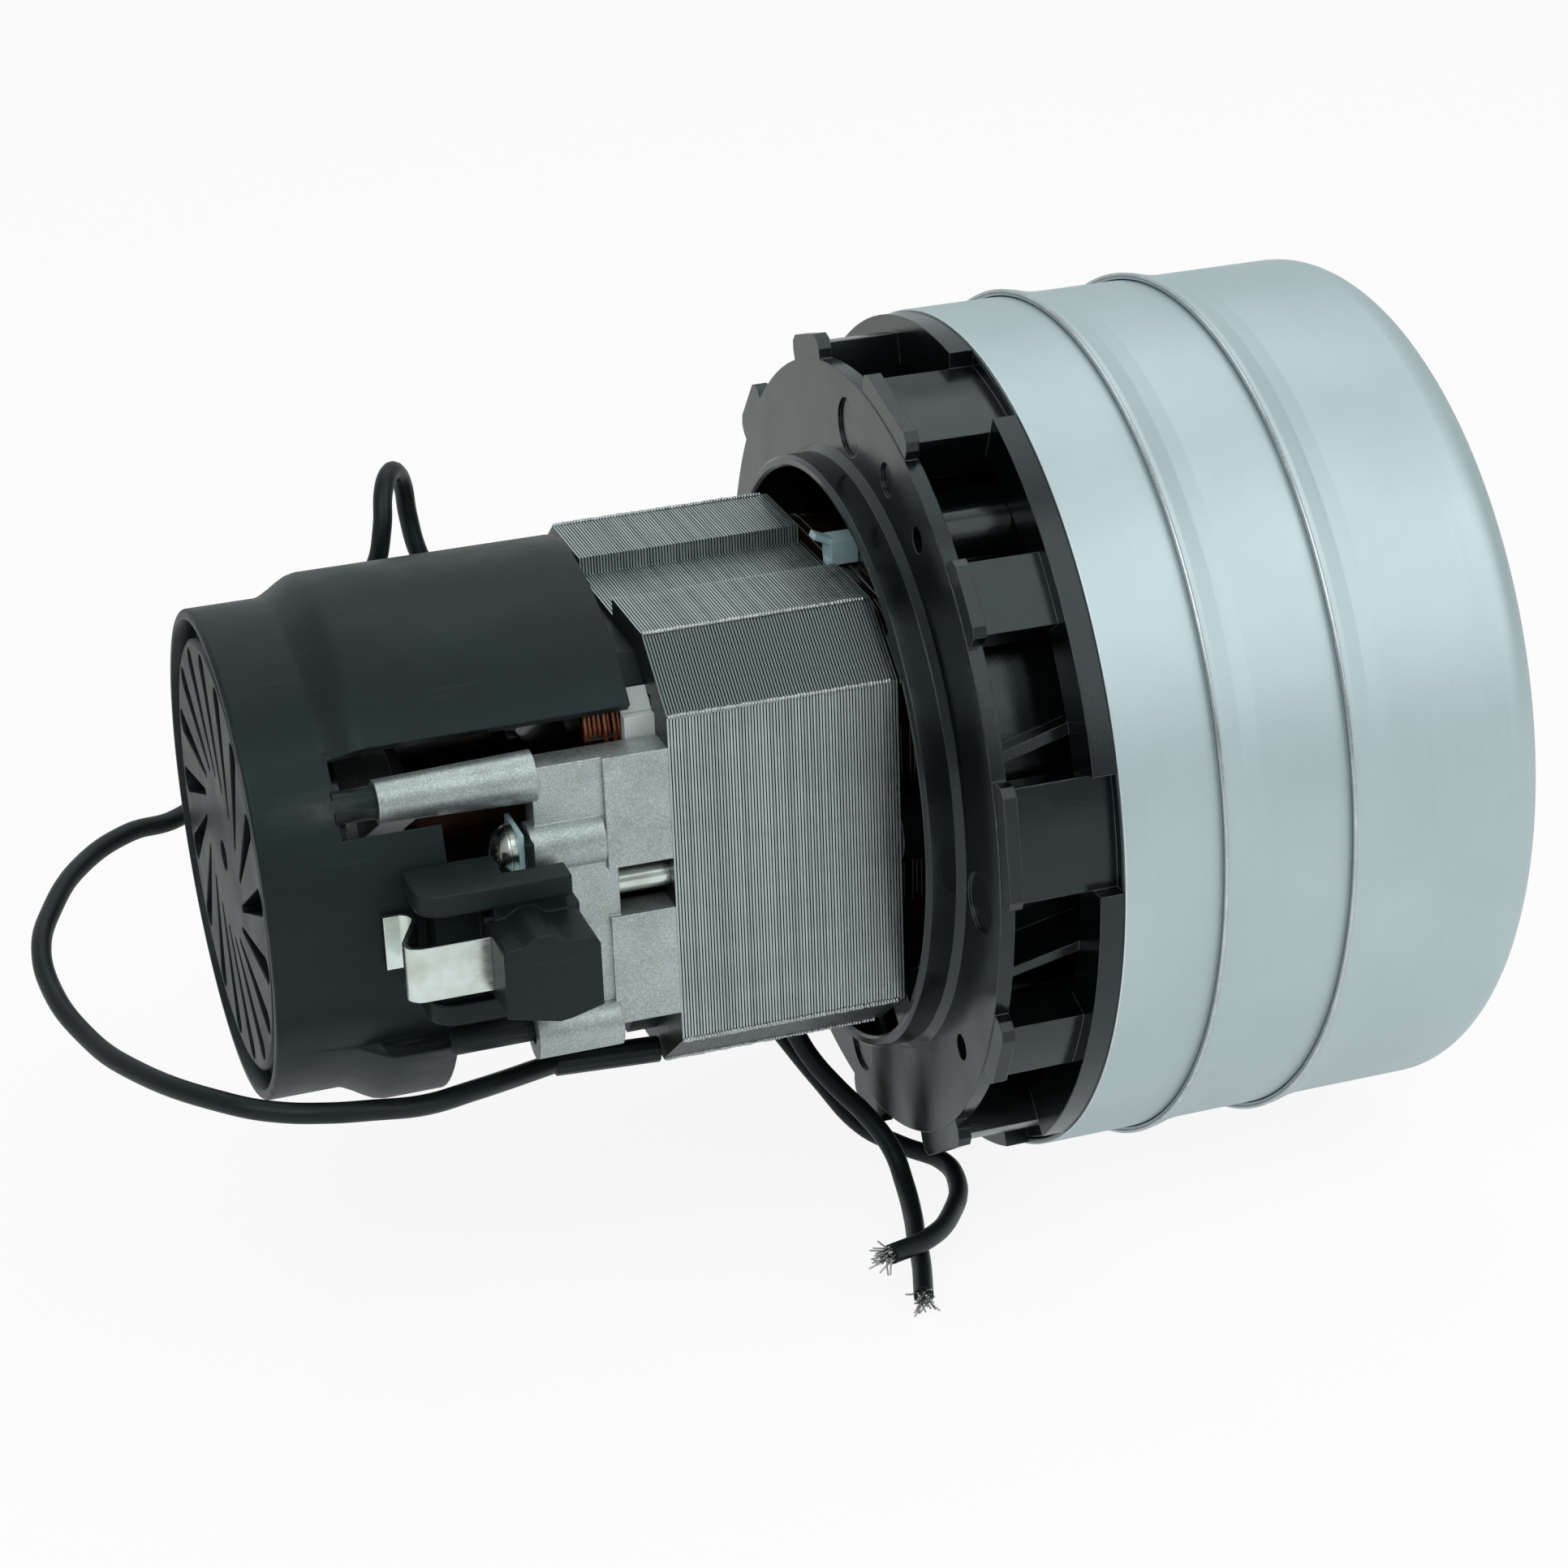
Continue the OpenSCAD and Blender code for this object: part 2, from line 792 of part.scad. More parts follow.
module coil_former_bottom()
    color("#1e2022")
        rotate([180, 0, 0])
            coil_former();

module through_bolts()
    color("#c8ced1")
        both_sides() {
            rod(x_plate - 0.1, x_flange + 6, bolt_r, -bolt_y);
            translate([x_plate - bolt_head_l, -bolt_y, 0])
                rotate([0, 90, 0])
                    cylinder(r = bolt_head_r, h = bolt_head_l, $fn = 6);
        }

// Tie over the right end of the upper coil
module cable_tie() {
    y = -3;
    z = coil_top_r;
    x1 = x_stack_r + coil_end_r;
    color("#bcdcdf") {
        block(x_stack_r + 0.3, x1 + 1, y - 1.3, y + 1.3, z, z + 1);
        block(x1, x1 + 1, y - 1.3, y + 1.3, z - 3.2, z + 0.5);
        block(x_stack_r + 0.6, x_stack_r + 5.2, y - 2.4, y + 2.4, z + 0.5, z + 4.6);
        translate([x_stack_r + 1.4, y, z + 4])
            rotate([0, 24, 0])
                block(-3.6, 0, -1.3, 1.3, -0.5, 0.5);
    }
}

// Fan bracket

function is_listed(i, list) = len([for (k = list) if (k == i) k]) > 0;
function is_wide(i) = is_listed(i, wide_posts);
function post_angle(i) = post_start + i * post_step;
function post_width(i) = is_wide(i) ? wide_post : narrow_post;

module collar_profile() {
    outer = collar_in + collar_wall;
    polygon([
        [collar_in, x_collar + rim_break], [collar_in + rim_break, x_collar], [outer - rim_break, x_collar],
        [outer, x_collar + rim_break], [outer, x_flange - collar_foot], [outer + collar_foot, x_flange],
        [flange_out, x_flange], [flange_out, x_flange + flange_t], [collar_in, x_flange + flange_t]
    ]);
}

// End wall of a post, with its outer corners broken
module post_wall(w) {
    side = [
        [post_in, w], [wall_out - wall_round, w],
        [wall_out - wall_round / 3, w - 0.5], [wall_out, w - 1.8]
    ];
    corners = concat(side, [for (k = [3 : -1 : 0]) [side[k][0], -side[k][1]]]);
    slab(x_flange + wall_step, x_flange + wall_t)
        polygon([for (c = corners) c[0] * [cos(c[1]), sin(c[1])]]);
}

module bracket_posts()
    for (i = [0 : post_count - 1]) {
        a = post_angle(i);
        w = post_width(i) / 2;
        ring_part(x_flange + 1, x_rim - 0.2, post_in, post_out, a - w, a + w);
        rotate([a, 0, 0])
            post_wall(w + wall_side);
    }

// The lip beside the shell, open behind the wide posts
module bracket_ring()
    difference() {
        union() {
            pipe(x_rim - ring_l, x_rim - 0.1, ring_lip_r, post_in + 3);
            pipe(x_rim - 0.2, x_rim - 0.2 + spigot_l, spigot_r, post_in + 5);
        }
        for (i = [0 : post_count - 1])
            if (is_wide(i))
                ring_part(x_rim - ring_l - 1, x_rim, post_out, shell_r + 2,
                    post_angle(i) - wide_post / 2, post_angle(i) + wide_post / 2);
    }

// Slanted diffuser vane behind each window that holds no screw column
module diffuser_vanes()
    for (i = [0 : post_count - 1])
        if (!is_listed(i, column_windows))
            rotate([post_angle(i) + post_step * 0.6, 0, 0])
                translate([(x_flange + x_face) / 2, 0, 0])
                    rotate([0, vane_tilt, 0])
                        block(-window_l / 2 - 2, window_l / 2 + 1, drum_out - 1, post_in + 3.5, -0.9, 0.9);

module fan_bracket() {
    boss = bolt_hole_r + 2.7;
    drum_in = drum_out - drum_wall;
    color("#202224")
        difference() {
            union() {
                turned()
                    collar_profile();
                pipe(x_flange, x_face, drum_out, drum_in);
                pipe(x_face - drum_wall, x_face, drum_out, sleeve_r + 2);
                rod(x_flange, x_face - 1, bearing_r + hub_wall);
                bracket_posts();
                bracket_ring();
                diffuser_vanes();
                for (a = column_angles)
                    rotate([a, 0, 0])
                        rod(x_flange + 0.6, x_face - 0.6, column_r, column_pitch_r);
                for (a = [30 : 60 : 330])
                    rotate([a, 0, 0])
                        block(x_flange + 3, x_face - 1, bearing_r + 2, drum_in + 1, -1.2, 1.2);
                both_sides()
                    rod(x_stack_r, x_face - 1, boss, -bolt_y);
                for (a = [41, 139, 221, 319])
                    ring_part(x_stack_r, x_flange + flange_t, collar_in - 6, collar_in + 1, a - 5, a + 5);
            }
            rod(x_flange - 1, x_front_bearing + bearing_w, bearing_r + slip);
            rod(x_flange - 1, x_face + 1, sleeve_r + 2);
            both_sides()
                rod(x_stack_r - 1, x_flange + 6, bolt_r, -bolt_y);
            for (a = column_angles)
                rotate([a, 0, 0])
                    rod(x_flange - 1, x_flange + 9, column_hole_r, column_pitch_r);
            for (m = marks)
                rotate([m[0], 0, 0])
                    rod(x_flange - 1, x_flange + mark_depth, m[1], mark_pitch_r);
        }
}

// Ball bearings

module bearing_outer(x)
    color("#b8bec2")
        pipe(x, x + bearing_w, bearing_r, race_out_r);

module bearing_inner(x)
    color("#b8bec2")
        difference() {
            pipe(x, x + bearing_w, race_in_r, shaft_r + slip);
            translate([x + bearing_w / 2, 0, 0])
                rotate([0, 90, 0])
                    rotate_extrude()
                        translate([ball_pitch_r, 0])
                            circle(ball_r + 0.01);
        }

module bearing_balls(x)
    color("#d5d9dc")
        for (i = [0 : ball_count - 1])
            rotate([i * 360 / ball_count, 0, 0])
                translate([x + bearing_w / 2, ball_pitch_r, 0])
                    sphere(ball_r);

module rear_bearing_outer()
    bearing_outer(x_rear_bearing);

module front_bearing_outer()
    bearing_outer(x_front_bearing);

module rear_bearing_inner()
    bearing_inner(x_rear_bearing);

module front_bearing_inner()
    bearing_inner(x_front_bearing);

module rear_bearing_balls()
    bearing_balls(x_rear_bearing);

module front_bearing_balls()
    bearing_balls(x_front_bearing);

// Armature

module shaft()
    color("#c3c8cb")
        rod(x_cap + 7.2, x_fan3 + fan_back + washer_t + nut_l + 1.5, shaft_r);

module armature_core()
    color("#6f7477")
        difference() {
            rod(x_stack_l, x_stack_r, rotor_r);
            rod(x_stack_l - 1, x_stack_r + 1, shaft_r + slip);
            for (i = [0 : armature_slots - 1])
                rotate([i * 360 / armature_slots, 0, 0]) {
                    rod(x_stack_l - 1, x_stack_r + 1, 2.9, slot_pitch_r);
                    block(x_stack_l - 1, x_stack_r + 1, slot_pitch_r, rotor_r + 1, -0.9, 0.9);
                }
        }

module armature_winding()
    color("#a8552a") {
        turned()
            polygon([
                [shaft_r + 1, x_riser + 0.4], [12.4, x_riser + 0.4], [12.4, x_riser + 3],
                [winding_r, x_stack_l - 8.5], [winding_r, x_stack_l - 1.8],
                [winding_r - 1.5, x_stack_l - 0.3], [shaft_r + 1, x_stack_l - 0.3]
            ]);
        turned()
            polygon([
                [shaft_r + 1, x_stack_r + 0.3], [winding_r - 1, x_stack_r + 0.3],
                [winding_r, x_stack_r + 1.2], [winding_r, x_stack_r + 3],
                [winding_r - 3, x_stack_r + 4.6], [shaft_r + 1, x_stack_r + 4.6]
            ]);
        for (i = [0 : armature_slots - 1])
            rotate([i * 360 / armature_slots, 0, 0])
                rod(x_stack_l - 1, x_stack_r + 1, 2.4, slot_pitch_r);
    }

module commutator_hub()
    color("#4a3a30")
        pipe(x_riser - commutator_l, x_riser, commutator_hub_r, shaft_r + slip);

module commutator_bars()
    color("#b9743f")
        difference() {
            union() {
                pipe(x_riser - commutator_l, x_riser, commutator_r, commutator_hub_r + slip);
                pipe(x_riser - 2.4, x_riser, commutator_r + 1, commutator_hub_r + slip);
            }
            for (i = [0 : bar_count - 1])
                rotate([i * 360 / bar_count, 0, 0])
                    block(x_riser - commutator_l - 1, x_riser + 1, commutator_r - 1, commutator_r + 2,
                        -0.25, 0.25);
        }

module cooling_fan() {
    x0 = x_cap + 6.7;
    color("#33373a")
        difference() {
            union() {
                pipe(x0, x0 + 8.6, 9, shaft_r + slip);
                pipe(x0 + 7.2, x0 + 8.6, cap_r - 6.5, shaft_r + slip);
                for (i = [0 : 8])
                    rotate([i * 40, 0, 0])
                        translate([0, 0, -6])
                            block(x0 + 0.6, x0 + 8, 7, cap_r - 9, -0.8, 0.8);
            }
            rod(x0 - 1, x0 + 10, shaft_r + slip);
        }
}

// Suction fans

// Curved blade outline in Y and Z, from the eye to the edge
module blade_outline(r_in, r_out, t) {
    bend = 52;
    intersection() {
        translate([30, -bend + 8])
            difference() {
                circle(bend + t / 2);
                circle(bend - t / 2);
            }
        difference() {
            circle(r_out);
            circle(r_in);
        }
        translate([0, -12])
            square([r_out + 5, 40]);
    }
}

module suction_fan(x_back, x_eye)
    color("#c2c7c9") {
        pipe(x_back, x_back + fan_back, fan_r, shaft_r + slip);
        pipe(x_eye - fan_front, x_eye, fan_r, fan_eye_r);
        for (i = [0 : blade_count - 1])
            rotate([i * 360 / blade_count, 0, 0])
                slab(x_back + fan_back - 0.1, x_eye - fan_front + 0.1)
                    blade_outline(fan_eye_r + 1, fan_r - 1, blade_t);
    }

module fan_stage_1()
    suction_fan(x_fan1, x_eye1);

module fan_stage_2()
    suction_fan(x_fan2, x_eye2);

module fan_stage_3()
    suction_fan(x_fan3, x_eye3);

module bearing_spacer()
    color("#aab0b3")
        pipe(x_front_bearing + bearing_w, x_fan1 - washer_t, sleeve_r, shaft_r + slip);

module fan_spacers()
    color("#aab0b3") {
        pipe(x_fan1 + fan_back + washer_t, x_fan2 - washer_t, sleeve_r, shaft_r + slip);
        pipe(x_fan2 + fan_back + washer_t, x_fan3 - washer_t, sleeve_r, shaft_r + slip);
    }

module fan_washers()
    color("#b4babd")
        for (x = [x_fan1, x_fan2, x_fan3]) {
            pipe(x - washer_t, x, washer_r, shaft_r + slip);
            pipe(x + fan_back, x + fan_back + washer_t, washer_r, shaft_r + slip);
        }

module fan_nut() {
    x0 = x_fan3 + fan_back + washer_t;
    color("#cdd2d5")
        difference() {
            translate([x0, 0, 0])
                rotate([0, 90, 0])
                    cylinder(r = nut_r, h = nut_l, $fn = 6);
            rod(x0 - 1, x0 + nut_l + 1, shaft_r + slip);
        }
}

// Return vanes on a disc; they stand on the floor of the shell before
module guide_plate(x_floor, l)
    color("#b3b8ba") {
        pipe(x_floor + l, x_floor + l + guide_t, guide_r, sleeve_r + 2);
        for (i = [0 : guide_count - 1])
            rotate([i * 360 / guide_count, 0, 0])
                mirror([0, 0, 1])
                    slab(x_floor, x_floor + l + 0.1)
                        blade_outline(stage_eye_r + 3, guide_r - 1, 1.2);
    }

module guide_plate_1()
    guide_plate(x_floor1, guide_l1);

module guide_plate_2()
    guide_plate(x_floor2, guide_l2);

// Fan shells

module lip_profile(x, r_in, r_out) {
    root = x + lip_flat + lip_flare;
    waist = r_in + (r_out - r_in) * 0.3;
    polygon([
        [0, x], [r_out, x], [r_out, x + lip_flat],
        [waist, root - lip_flare / 2], [r_in, root], [0, root]
    ]);
}

// A cup with an open rim at x0, flared to the inner radius rim, and a floor with an eye at x1
module shell_cup(x0, x1, corner, eye_r, rim)
    difference() {
        union() {
            drum_profile(shell_r, x0 + lip_l, x1, corner);
            lip_profile(x0, shell_r, rim + shell_wall);
        }
        drum_profile(shell_in, x0 + lip_l, x1 - shell_wall, corner - shell_wall);
        translate([0, -0.01])
            lip_profile(x0, shell_in, rim);
        translate([0, x1 - 10])
            square([eye_r, 20]);
    }

// The lip drawn inwards around the inlet eye
module inlet_lip() {
    r = inlet_r + inlet_round;
    x_lip = x_end - inlet_lip_l;
    difference() {
        union() {
            translate([inlet_r, x_lip])
                square([shell_wall, -x_lip]);
            translate([r, 0])
                circle(inlet_round);
            translate([r, x_end - shell_wall])
                square([2, shell_wall]);
        }
        translate([r + 0.01, x_lip])
            square([4, inlet_lip_l - shell_wall]);
    }
}

module base_shell()
    color("#aebcc0")
        turned()
            shell_cup(x_rim, x_floor1, inner_corner, stage_eye_r, shell_in);

module middle_shell()
    color("#aebcc0")
        turned()
            shell_cup(x_seam1, x_floor2, inner_corner, stage_eye_r, lip_in);

module inlet_shell()
    color("#aebcc0")
        turned() {
            shell_cup(x_seam2, x_end, shell_corner, inlet_r + inlet_round + 1, lip_in);
            inlet_lip();
        }

// Leads

function unit(v) = v / norm(v);
function heading(p, i) = unit(p[min(i + 1, len(p) - 1)] - p[max(i - 1, 0)]);
function side_of(d) = unit(cross(d, abs(d[2]) > 0.9 ? [0, 1, 0] : [0, 0, 1]));

// A side direction carried along the route without twisting
function carried(p, i) =
    i == 0 ? side_of(heading(p, 0)) :
    let (last = carried(p, i - 1), d = heading(p, i))
    unit(last - d * (last * d));

function ring_points(p, i, r, n) =
    let (d = heading(p, i), s = carried(p, i), t = cross(d, s))
    [for (k = [0 : n - 1]) p[i] + r * (cos(k * 360 / n) * s + sin(k * 360 / n) * t)];

// A round tube swept along a list of points
module swept_tube(p, r, n) {
    m = len(p);
    points = [for (i = [0 : m - 1]) each ring_points(p, i, r, n)];
    sides = [for (i = [0 : m - 2], k = [0 : n - 1])
        [i * n + k, i * n + (k + 1) % n, (i + 1) * n + (k + 1) % n, (i + 1) * n + k]];
    first = [[for (k = [n - 1 : -1 : 0]) k]];
    last = [[for (k = [0 : n - 1]) (m - 1) * n + k]];
    polyhedron(points, [for (f = concat(sides, first, last)) [for (k = [len(f) - 1 : -1 : 0]) f[k]]]);
}

function placed(route) = [for (p = route) p + [x_stack_l, 0, 0]];
function past_end(p) = p[len(p) - 1] + tip_l * heading(p, len(p) - 1);

module splice_sleeve()
    color("#191a1c")
        swept_tube(placed(sleeve_path), sleeve_out_r, 12);

module lead_long()
    color("#17181a")
        swept_tube(placed(long_route), lead_d / 2, lead_sides);

module lead_short()
    color("#17181a")
        swept_tube(placed(short_route), lead_d / 2, lead_sides);

module lead_tips()
    color("#c0bdb6")
        for (p = [placed(long_route), placed(short_route)])
            swept_tube([p[len(p) - 1], past_end(p)], tip_r, lead_sides);

vent_cap();
end_bracket();
bracket_screws();
bracket_washers();
insulating_tabs();
brush_holder_front();
brush_holder_rear();
brush_tube_front();
brush_tube_rear();
brush_terminal_front();
brush_terminal_rear();
brush_spring_front();
brush_spring_rear();
carbon_brush_front();
carbon_brush_rear();
stator_core();
field_coil_top();
field_coil_bottom();
coil_insulator_top();
coil_insulator_bottom();
coil_former_top();
coil_former_bottom();
through_bolts();
cable_tie();
fan_bracket();
rear_bearing_outer();
front_bearing_outer();
rear_bearing_inner();
front_bearing_inner();
rear_bearing_balls();
front_bearing_balls();
shaft();
armature_core();
armature_winding();
commutator_hub();
commutator_bars();
cooling_fan();
bearing_spacer();
fan_spacers();
fan_washers();
fan_nut();
fan_stage_1();
fan_stage_2();
fan_stage_3();
guide_plate_1();
guide_plate_2();
base_shell();
middle_shell();
inlet_shell();
splice_sleeve();
lead_long();
lead_short();
lead_tips();
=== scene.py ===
import math

import bmesh
import bpy
from mathutils import Euler, Matrix, Vector


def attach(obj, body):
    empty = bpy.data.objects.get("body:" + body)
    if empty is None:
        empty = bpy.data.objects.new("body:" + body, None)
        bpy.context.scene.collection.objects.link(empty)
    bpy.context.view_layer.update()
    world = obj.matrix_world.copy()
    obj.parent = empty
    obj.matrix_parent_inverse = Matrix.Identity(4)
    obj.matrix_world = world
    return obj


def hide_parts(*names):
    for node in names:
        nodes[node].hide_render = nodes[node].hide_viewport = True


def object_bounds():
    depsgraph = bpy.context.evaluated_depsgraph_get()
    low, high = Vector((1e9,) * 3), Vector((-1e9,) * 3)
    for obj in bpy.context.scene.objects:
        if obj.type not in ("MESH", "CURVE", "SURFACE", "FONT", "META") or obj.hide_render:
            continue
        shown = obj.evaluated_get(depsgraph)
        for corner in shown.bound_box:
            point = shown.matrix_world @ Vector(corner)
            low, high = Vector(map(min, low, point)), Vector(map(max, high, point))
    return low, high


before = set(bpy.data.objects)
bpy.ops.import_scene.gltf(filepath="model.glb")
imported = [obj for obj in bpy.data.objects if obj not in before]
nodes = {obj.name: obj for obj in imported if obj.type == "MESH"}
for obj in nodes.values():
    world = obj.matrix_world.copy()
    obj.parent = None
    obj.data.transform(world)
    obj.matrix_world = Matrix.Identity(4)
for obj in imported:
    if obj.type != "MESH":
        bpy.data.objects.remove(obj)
cad_low, cad_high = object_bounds()
MM = 0.001
X, Y = 0, 1


def reach(node, axis):
    """The lowest and the highest place of a CAD node along an axis, in millimetres."""
    places = [(nodes[node].matrix_world @ corner.co)[axis] / MM for corner in nodes[node].data.vertices]
    return round(min(places), 2), round(max(places), 2)


def added(name, data):
    """A new object in the scene."""
    piece = bpy.data.objects.new(name, data)
    bpy.context.scene.collection.objects.link(piece)
    return piece


# Stations along the shaft and the radius of the shells' lips, in millimetres, from the frame
STACK_LEFT, STACK_RIGHT = reach("stator_core", X)
CAP_RIM = reach("vent_cap", X)[0]
SEAMS = [reach(shell, X)[0] for shell in ("inlet_shell", "middle_shell")]
LIP_RADIUS = reach("inlet_shell", Y)[1]


# Camera at the photograph's place, in millimetres and degrees

CAMERA_PLACE = (-282.23, -551.69, 262.33)
CAMERA_TURN = (65.26073, 1.93696, -18.7678)
LENS = 86.21
SENSOR = 36.0

camera_data = bpy.data.cameras.new("camera")
camera_data.lens = LENS
camera_data.sensor_width = SENSOR
camera_data.clip_start = 0.02
camera_data.clip_end = 50.0
camera = added("camera", camera_data)
camera_turn = Euler([math.radians(angle) for angle in CAMERA_TURN])
camera.matrix_world = Matrix.LocRotScale(Vector(CAMERA_PLACE) * MM, camera_turn, None)
bpy.context.scene.camera = camera


# Leads: routes in millimetres from the stack's left face, as the part has them

LEAD_RADIUS = 1.7
LONG_ROUTE = [
    (-18, -24, -36), (-35.5, -38.5, -30), (-44.5, -43.5, -28), (-53, -45.5, -26), (-60, -45.5, -25),
    (-67.5, -43, -24.5), (-74, -38.5, -24), (-86.5, -21, -24), (-91.5, -8, -23.5), (-94.5, 4, -21),
    (-94.5, 14, -18), (-91, 24, -16), (-84, 36, -14.5), (-74, 46, -14.5), (-64.5, 52, -16),
    (-54, 56, -12), (-44, 57, -1), (-38, 56.5, 10), (-31, 51.5, 20), (-26.7, 46.6, 27.5),
    (-24.9, 46.5, 34.5), (-23.6, 49.5, 39.6), (-21.9, 52.6, 41.4), (-20, 55.8, 40.8), (-18.2, 58.6, 37),
    (-17.6, 59, 31.2), (-16.6, 57, 24.5), (-11, 54.5, 12), (3, 52, -16), (12, 47, -31),
    (22, 37, -45), (31, 22, -57), (37.8, 7, -67), (42, -4, -71.7), (46.5, -11.5, -72.5),
    (51.2, -19.5, -72.4), (50.8, -27.5, -72), (45.3, -39.2, -70.5), (37.5, -49.1, -68), (29, -54.1, -66.3),
]
SHORT_ROUTE = [
    (-4, 0, -36.2), (3, 0, -37.4), (12, 0, -37.4), (21, 0, -38.2), (27, 0, -44),
    (30.5, -1, -51), (32.8, -4, -56), (35.7, -9, -59.8), (39, -16, -63), (41, -22, -66.5),
    (41, -28, -70), (39.5, -36, -71.6), (37.5, -43, -71.6), (35.7, -50, -71.6), (32.4, -60, -71.6),
]


def placed(route):
    """A route's points in the frame, in metres."""
    return [Vector(((x + STACK_LEFT) * MM, y * MM, z * MM)) for x, y, z in route]


def lead_curve(name, route):
    """A round lead on one smooth open spline."""
    points = placed(route)
    data = bpy.data.curves.new(name, "CURVE")
    data.dimensions = "3D"
    data.bevel_depth = LEAD_RADIUS * MM
    data.bevel_resolution = 4
    data.resolution_u = 8
    data.use_fill_caps = True
    spline = data.splines.new("BEZIER")
    spline.bezier_points.add(len(points) - 1)
    for knot, point in zip(spline.bezier_points, points):
        knot.co = point
        knot.handle_left_type = "AUTO"
        knot.handle_right_type = "AUTO"
    return added(name, data)


lead_long = lead_curve("lead_jacket_long", LONG_ROUTE)
lead_short = lead_curve("lead_jacket_short", SHORT_ROUTE)


# Finishes

DRAWN_RADIUS = 70.0


def feed(tree, source, socket):
    """Links a socket to an output, or sets it to a plain value."""
    if isinstance(source, bpy.types.NodeSocket):
        tree.links.new(source, socket)
    else:
        socket.default_value = source


def opaque(colour):
    """A colour socket's value from one grey level or from red, green and blue."""
    return (colour, colour, colour, 1) if isinstance(colour, float) else (*colour, 1)


class Shader:
    """The shader nodes of a material or a world."""

    def __init__(self, owner):
        owner.use_nodes = True
        self.tree = owner.node_tree

    def node(self, kind, **inputs):
        """A new node; an input's name is written with _ for a space."""
        made = self.tree.nodes.new(kind)
        for label, value in inputs.items():
            made.inputs[label.replace("_", " ")].default_value = value
        return made

    def link(self, source, target):
        self.tree.links.new(source, target)

    def math(self, operation, *sources):
        made = self.node("ShaderNodeMath")
        made.operation = operation
        for source, socket in zip(sources, made.inputs):
            feed(self.tree, source, socket)
        return made.outputs[0]

    def parts(self, vector):
        """The outputs X, Y and Z of a vector."""
        made = self.node("ShaderNodeSeparateXYZ")
        self.link(vector, made.inputs[0])
        return made.outputs

    def blend(self, factor, first, second, mode="MIX"):
        """A mix of two colours, each an output, a grey level or red, green and blue."""
        mix = self.node("ShaderNodeMix")
        mix.data_type = "RGBA"
        mix.blend_type = mode
        feed(self.tree, factor, mix.inputs[0])
        for colour, socket in ((first, mix.inputs[6]), (second, mix.inputs[7])):
            feed(self.tree, colour if isinstance(colour, bpy.types.NodeSocket) else opaque(colour), socket)
        return mix.outputs[2]


class Finish(Shader):
    """A material: its constants stand on the shader's sockets, its variation comes from textures."""

    def __init__(self, name, **sockets):
        self.material = bpy.data.materials.new(name)
        super().__init__(self.material)
        self.shader = self.tree.nodes["Principled BSDF"]
        for label, value in sockets.items():
            self.shader.inputs[label.replace("_", " ")].default_value = value
        self.place = self.node("ShaderNodeTexCoord").outputs["Object"]

    def grain(self, size, detail=3.0, stretch=(1, 1, 1), place=None):
        """Noise whose patches are about so many millimetres wide."""
        mapping = self.node("ShaderNodeMapping", Scale=[1 / (size * MM * s) for s in stretch])
        self.link(place or self.place, mapping.inputs["Vector"])
        noise = self.node("ShaderNodeTexNoise", Scale=1.0, Detail=detail, Roughness=0.55)
        self.link(mapping.outputs["Vector"], noise.inputs["Vector"])
        return noise.outputs["Fac"]

    def around(self):
        """Coordinates that follow a drawn shell: along the shaft and round it, in metres."""
        place = self.parts(self.place)
        angle = self.math("ARCTAN2", place["Z"], place["Y"])
        joined = self.node("ShaderNodeCombineXYZ")
        self.link(place["X"], joined.inputs["X"])
        self.link(self.math("MULTIPLY", angle, DRAWN_RADIUS * MM), joined.inputs["Y"])
        return joined.outputs[0]

    def attribute(self, name):
        found = self.node("ShaderNodeAttribute")
        found.attribute_name = name
        return found.outputs["Fac"]

    def ramp(self, source, *stops):
        """Colours or grey levels over a texture's range: (position, colour or level) pairs."""
        ramp = self.node("ShaderNodeValToRGB")
        band = ramp.color_ramp
        while len(band.elements) < len(stops):
            band.elements.new(0.5)
        for element, (position, colour) in zip(band.elements, stops):
            element.position = position
            element.color = opaque(colour)
        self.link(source, ramp.inputs["Fac"])
        return ramp.outputs["Color"]

    def broken(self, width):
        """Normals as if each edge were broken by so many millimetres."""
        made = self.node("ShaderNodeBevel", Radius=width * MM)
        made.samples = 6
        return made.outputs["Normal"]

    def facing(self):
        """The way a face looks."""
        return self.node("ShaderNodeNewGeometry").outputs["True Normal"]

    def edges(self, width):
        """A mask of the edges, about so many millimetres wide: black on open faces."""
        along = self.node("ShaderNodeVectorMath")
        along.operation = "DOT_PRODUCT"
        self.link(self.broken(width), along.inputs[0])
        self.link(self.facing(), along.inputs[1])
        return self.ramp(along.outputs["Value"], (0.78, 1.0), (0.96, 0.0))

    def bevels(self):
        """A mask of faces that lie aslant between the side and the top."""
        way = self.parts(self.facing())
        slant = self.math("MULTIPLY", way["Y"], way["Z"])
        return self.ramp(self.math("ABSOLUTE", slant), (0.25, 0.0), (0.4, 1.0))

    def flat_sides(self):
        """A mask of faces that look along the shaft."""
        along = self.parts(self.facing())["X"]
        return self.ramp(self.math("ABSOLUTE", along), (0.6, 0.0), (0.9, 1.0))

    def colour(self, source):
        self.link(source, self.shader.inputs["Base Color"])

    def roughness(self, source):
        self.link(source, self.shader.inputs["Roughness"])

    def relief(self, *layers, edge=0.0):
        """Bump layers of (texture, strength, height in millimetres), on edges broken by so many millimetres."""
        normal = self.broken(edge) if edge else None
        for texture, strength, height in layers:
            bump = self.node("ShaderNodeBump", Strength=strength, Distance=height * MM)
            self.link(texture, bump.inputs["Height"])
            if normal:
                self.link(normal, bump.inputs["Normal"])
            normal = bump.outputs["Normal"]
        self.link(normal, self.shader.inputs["Normal"])
        return self.material


